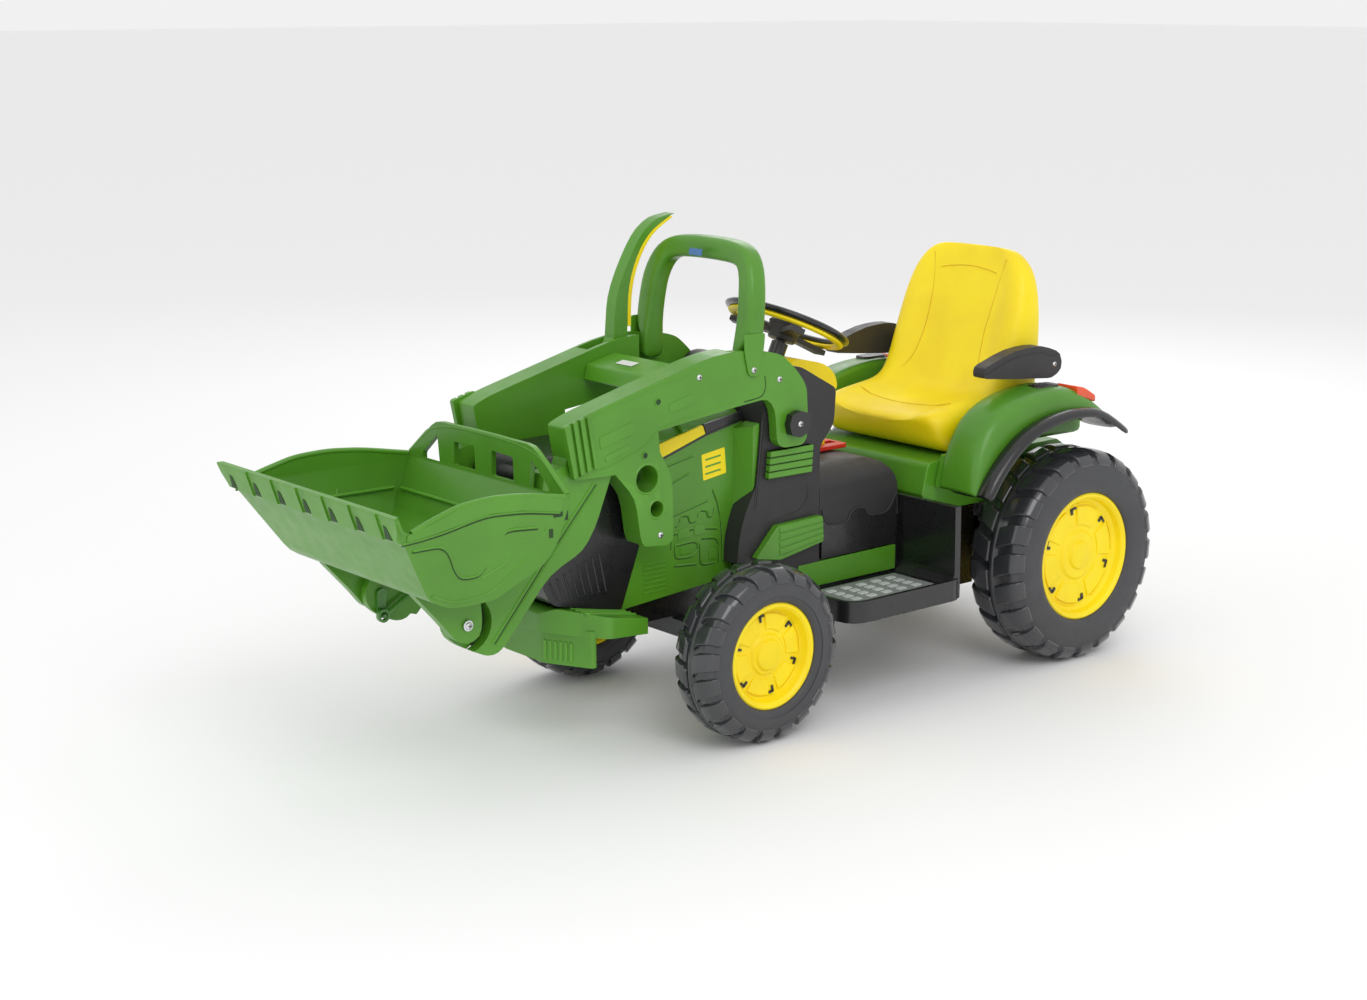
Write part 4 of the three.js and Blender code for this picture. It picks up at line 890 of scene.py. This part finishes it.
def hoop():
    """The lift handle: a broad moulded tube bent to an arch, with a flat foot on each arm."""
    path = [Vector((y, z, w)) for y, z, w in HOOP_PATH]
    path += [Vector((-y, z, w)) for y, z, w in reversed(HOOP_PATH[:-1])]
    sides = 24
    points = []
    for i, spot in enumerate(path):
        ahead = (path[min(i + 1, len(path) - 1)] - path[max(i - 1, 0)]).xy
        if spot.y < 640:
            ahead = Vector((0, 1)) if spot.x > 0 else Vector((0, -1))
        out = Vector((ahead.y, -ahead.x)).normalized()
        middle, depth = hoop_depth(spot.y)
        for k in range(sides):
            turn = 2 * math.pi * k / sides
            c, n = math.cos(turn), math.sin(turn)
            wide = math.copysign(abs(c) ** 0.55, c) * spot.z / 2
            deep = math.copysign(abs(n) ** 0.55, n) * depth / 2
            points.append((middle + deep, spot.x + out.x * wide, spot.y + out.y * wide))
    faces = []
    for i in range(len(path) - 1):
        for k in range(sides):
            here = i * sides
            faces.append((here + k, here + (k + 1) % sides, here + (k + 1) % sides + sides, here + k + sides))
    faces += [tuple(range(sides)), tuple(range((len(path) - 1) * sides, len(path) * sides))]
    arch = piece("hoop_tube", points, faces, GREEN, "loader_boom", subdivide=1)
    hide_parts("hoop_handle")
    for name, side in SIDES:
        foot = [(657, 652, 6), (702, 652, 6), (702, 622, 12), (692, 582, 8), (672, 580, 8), (660, 622, 12)]
        prism(f"hoop_foot_{name}", "side", foot, side * (ARM_FACE + 0.2), side * (ARM_FACE + 3.6), GREEN,
              "loader_boom", bevel=1.4)


def labels():
    """Plain, blank stickers where the loader carries small printed ones."""
    tilt = math.radians(8)
    top = [(-16, -1), (16, -1), (16, 10), (-16, 10)]
    points, faces = [], [(0, 1, 2, 3), (4, 5, 6, 7), (0, 1, 5, 4), (1, 2, 6, 5), (2, 3, 7, 6), (3, 0, 4, 7)]
    for depth in (0.0, 0.8):
        for y, up in top:
            points.append((681 + up * -math.tan(tilt) + depth, y, 768 + up))
    piece("hoop_label", points, faces, BLUE_LABEL, "loader_boom")
    box_low, box_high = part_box("cross_box")
    middle = ((box_low.x + box_high.x) / 2 - AXLE_X) * 1000
    slope = -14 / 60
    points = []
    for depth in (0.0, 0.7):
        for x, y in ((-8, -2), (8, -2), (8, -44), (-8, -44)):
            points.append((middle + x, y, 596 + (x + middle - 806) * slope + depth))
    piece("cross_box_label", points, faces, WHITE_LABEL, "loader_boom")


def bucket_half(x, z):
    """Half the bucket's outside width at a place in the side view."""
    by_plan = 217 + (x - 1110) * 24 / 310
    by_flare = 182 + (z - 290) * 61 / 155 if z < 445 else 243 + (z - 445) * 27 / 45
    return min(by_plan, by_flare)


def band(name, top, low, side):
    """The bucket side's raised upper band."""
    points = []
    for out in (-1.0, 2.2):
        for (x0, z0), (x1, z1) in zip(top, low):
            for x, z in ((x0, z0), (x1, z1)):
                points.append((x, side * (bucket_half(x, z) + out), z))
    count = 2 * len(top)
    faces = []
    for i in range(len(top) - 1):
        a, b, c, d = 2 * i, 2 * i + 1, 2 * i + 3, 2 * i + 2
        faces += [(a, b, c, d), tuple(v + count for v in (a, b, c, d)), (a, d, d + count, a + count),
                  (b, c, c + count, b + count)]
    faces += [(0, 1, 1 + count, count), (count - 2, count - 1, 2 * count - 1, 2 * count - 2)]
    return piece(name, points, faces, GREEN, "bucket", bevel=1.0)


def bucket_details():
    for name, side in SIDES:
        lines = [
            [(1425, 434), (1392, 436), (1349, 440), (1274, 452), (1200, 446), (1132, 433)],
            [(1404, 420), (1347, 420), (1311, 358), (1267, 357), (1247, 425), (1176, 418)],
            [(1352, 338), (1318, 322), (1285, 318), (1240, 324), (1178, 384), (1160, 412)],
            [(1268, 352), (1226, 372), (1200, 405)],
        ]
        beads = []
        for line in lines:
            spots = softened([(x, side * (bucket_half(x, z) - 0.5), z) for x, z in line])
            beads.append(tube("bead", spots, 2.2, GREEN, "bucket"))
        rim_line = [(1408, 449), (1378, 459), (1323, 474), (1264, 477), (1204, 472), (1120, 457)]
        spots = softened([(x, side * (bucket_half(x, z - 6) - 3), z - 2) for x, z in rim_line])
        beads.append(tube("bead", spots, 4.6, GREEN, "bucket", sides=12))
        step = [(1320, 388), (1306, 402), (1150, 402)]
        spots = softened([(x, side * (bucket_half(x, z) - 8), z) for x, z in step])
        beads.append(tube("bead", spots, 3, GREEN, "bucket"))
        joined(f"bucket_beads_{name}", beads)
        # Dark green lines just below the beads: painted shade along the grooves.
        grooves = [tube("line", softened([(x, side * (bucket_half(x, z - 3) + 0.5), z - 3) for x,
                                          z in line]), 1.0,
                        GREEN_PAINTED_SHADE, "bucket") for line in lines[:2]]
        joined(f"bucket_groove_shades_{name}", grooves)
        band_top = [(1418, 446), (1378, 455), (1323, 471), (1264, 475), (1204, 470), (1124, 455)]
        band_low = [(1418, 436), (1378, 439), (1323, 446), (1264, 453), (1204, 448), (1130, 434)]
        band(f"bucket_rim_band_{name}", band_top, band_low, side)
        # Dark green notches on the bucket side: painted shade inside them.
        notches = []
        for x, z, w, h in ((1137, 431, 10, 4), (1150, 404, 4, 7)):
            y = bucket_half(x, z)
            outline = [(x - w, z - h), (x + w, z - h), (x + w, z + h), (x - w, z + h)]
            notches.append(prism("notch", "side", outline, side * (y - 4), side * (y + 0.6), GREEN_PAINTED_SHADE,
                                 "bucket",
                                 radius=2))
        joined(f"bucket_notch_shades_{name}", notches)
        screw(f"screw_bucket_{name}", 1248.5, 261, 142, side, 6, STEEL, "bucket")
    guard = [(-213, 457), (-134, 518), (134, 518), (213, 457)]
    tube("guard_rim", softened([(1113.5, y, z) for y, z in guard]), 5, GREEN, "bucket", sides=12)
    tube("back_step", [(1143, -200, 402), (1143, 0, 402), (1143, 200, 402)], 3, GREEN, "bucket")
    joined("lip_socket_shades", [lip_notch(TOOTH_PITCH * (i - 3)) for i in range(7)])


def lip_notch(y):
    """A socket low on the lip between two teeth, darkened with painted shade."""
    points = []
    for out in (-1.0, 0.8):
        for along, shift in ((0.04, -9), (0.04, 9), (0.58, 3), (0.64, -3)):
            x = LIP_BASE[0] + LIP_RUN[0] * along + LIP_OUT[0] * out
            z = LIP_BASE[1] + LIP_RUN[1] * along + LIP_OUT[1] * out
            points.append((x, y + shift, z))
    faces = [(0, 1, 2, 3), (4, 5, 6, 7), (0, 1, 5, 4), (1, 2, 6, 5), (2, 3, 7, 6), (3, 0, 4, 7)]
    return piece("notch", points, faces, GREEN_PAINTED_SHADE, "bucket")


# ---- small fittings ----
def fittings():
    for name, side in SIDES:
        x, _, z = hinge_place("loader_lift")
        screw(f"screw_knob_{name}", x, z, 159.5, side, 5.5, STEEL, "tractor")
        x, _, z = hinge_place(f"armrest_{name}_fold")
        screw(f"screw_armrest_{name}", x + 8, z + 2, 202.5, side, 5, STEEL, f"armrest_{name}")
        rail = [(180, 538), (110, 560), (40, 563), (0, 552)]
        tube(f"armrest_bead_{name}", softened([(px, side * 203, pz) for px, pz in rail]), 1.3, CHARCOAL,
             f"armrest_{name}")
    ribs = []
    for _, side in SIDES:
        for i in range(6):
            share = 0.42 + 0.11 * i
            x, y = 1007.5 + 38 * share, 131 - 76 * share
            ribs.append(tube("rib", [(x, side * y, 150), (x, side * y, 182)], 2.8, GREEN, "tractor"))
        for i in range(6):
            y = 58 + 13 * i
            ribs.append(tube("rib", [(912, side * y, 214.2), (1014, side * y, 233.6)], 2.6, GREEN, "tractor"))
    joined("bumper_ribs", ribs)


# ---- studio ----
def studio():
    floor_mesh = bpy.data.meshes.new("floor")
    size = 60
    corners = [(-size, -size, 0), (size, -size, 0), (size, size, 0), (-size, size, 0)]
    floor_mesh.from_pydata(corners, [], [(0, 1, 2, 3)])
    floor = bpy.data.objects.new("floor", floor_mesh)
    bpy.context.scene.collection.objects.link(floor)
    ground = bpy.data.materials.new("floor")
    ground.use_nodes = True
    shader = ground.node_tree.nodes["Principled BSDF"]
    shader.inputs["Base Color"].default_value = (0.93, 0.93, 0.93, 1)
    shader.inputs["Roughness"].default_value = 0.95
    floor_mesh.materials.append(ground)
    world = bpy.data.worlds.new("studio")
    world.use_nodes = True
    world.node_tree.nodes["Background"].inputs["Color"].default_value = (1, 1, 1, 1)
    world.node_tree.nodes["Background"].inputs["Strength"].default_value = 0.88
    bpy.context.scene.world = world
    bpy.context.scene.view_settings.view_transform = "Standard"
    for name, place, power, size in (
        ("key", (1.2, 3.2, 3.4), 46, 2.2), ("fill", (3.8, -0.6, 2.2), 14, 2.5),
        ("back", (-2.8, -2.2, 2.6), 24, 2.0),
    ):
        light = bpy.data.lights.new(name, "AREA")
        light.energy = power
        light.size = size
        lamp = bpy.data.objects.new(name, light)
        lamp.location = place
        lamp.rotation_euler = (Vector((0, 0, 0.35)) - Vector(place)).to_track_quat("-Z", "Y").to_euler()
        bpy.context.scene.collection.objects.link(lamp)


def camera():
    azimuth, elevation = math.radians(140.08), math.radians(12.82)
    back = Vector((math.sin(azimuth) * math.cos(elevation), -math.cos(azimuth) * math.cos(elevation),
                   math.sin(elevation)))
    lens = bpy.data.cameras.new("photo_view")
    lens.sensor_width = 36
    lens.lens = 59.25
    viewer = bpy.data.objects.new("photo_view", lens)
    viewer.location = (2.4725, 2.8595, 1.2008)
    viewer.rotation_euler = (-back).to_track_quat("-Z", "Y").to_euler()
    bpy.context.scene.collection.objects.link(viewer)
    bpy.context.scene.camera = viewer


camera()
studio()
dress_frame()
wheels()
seat()
steering()
nose_details()
bucket_details()
hoop()
labels()
fittings()
for name, side in SIDES:
    hood_details(name, side)
    cowl_details(name, side)
    step_tread(name)
    fender(name, side)
    mud_flap(name, side)
    arm_details(name, side)
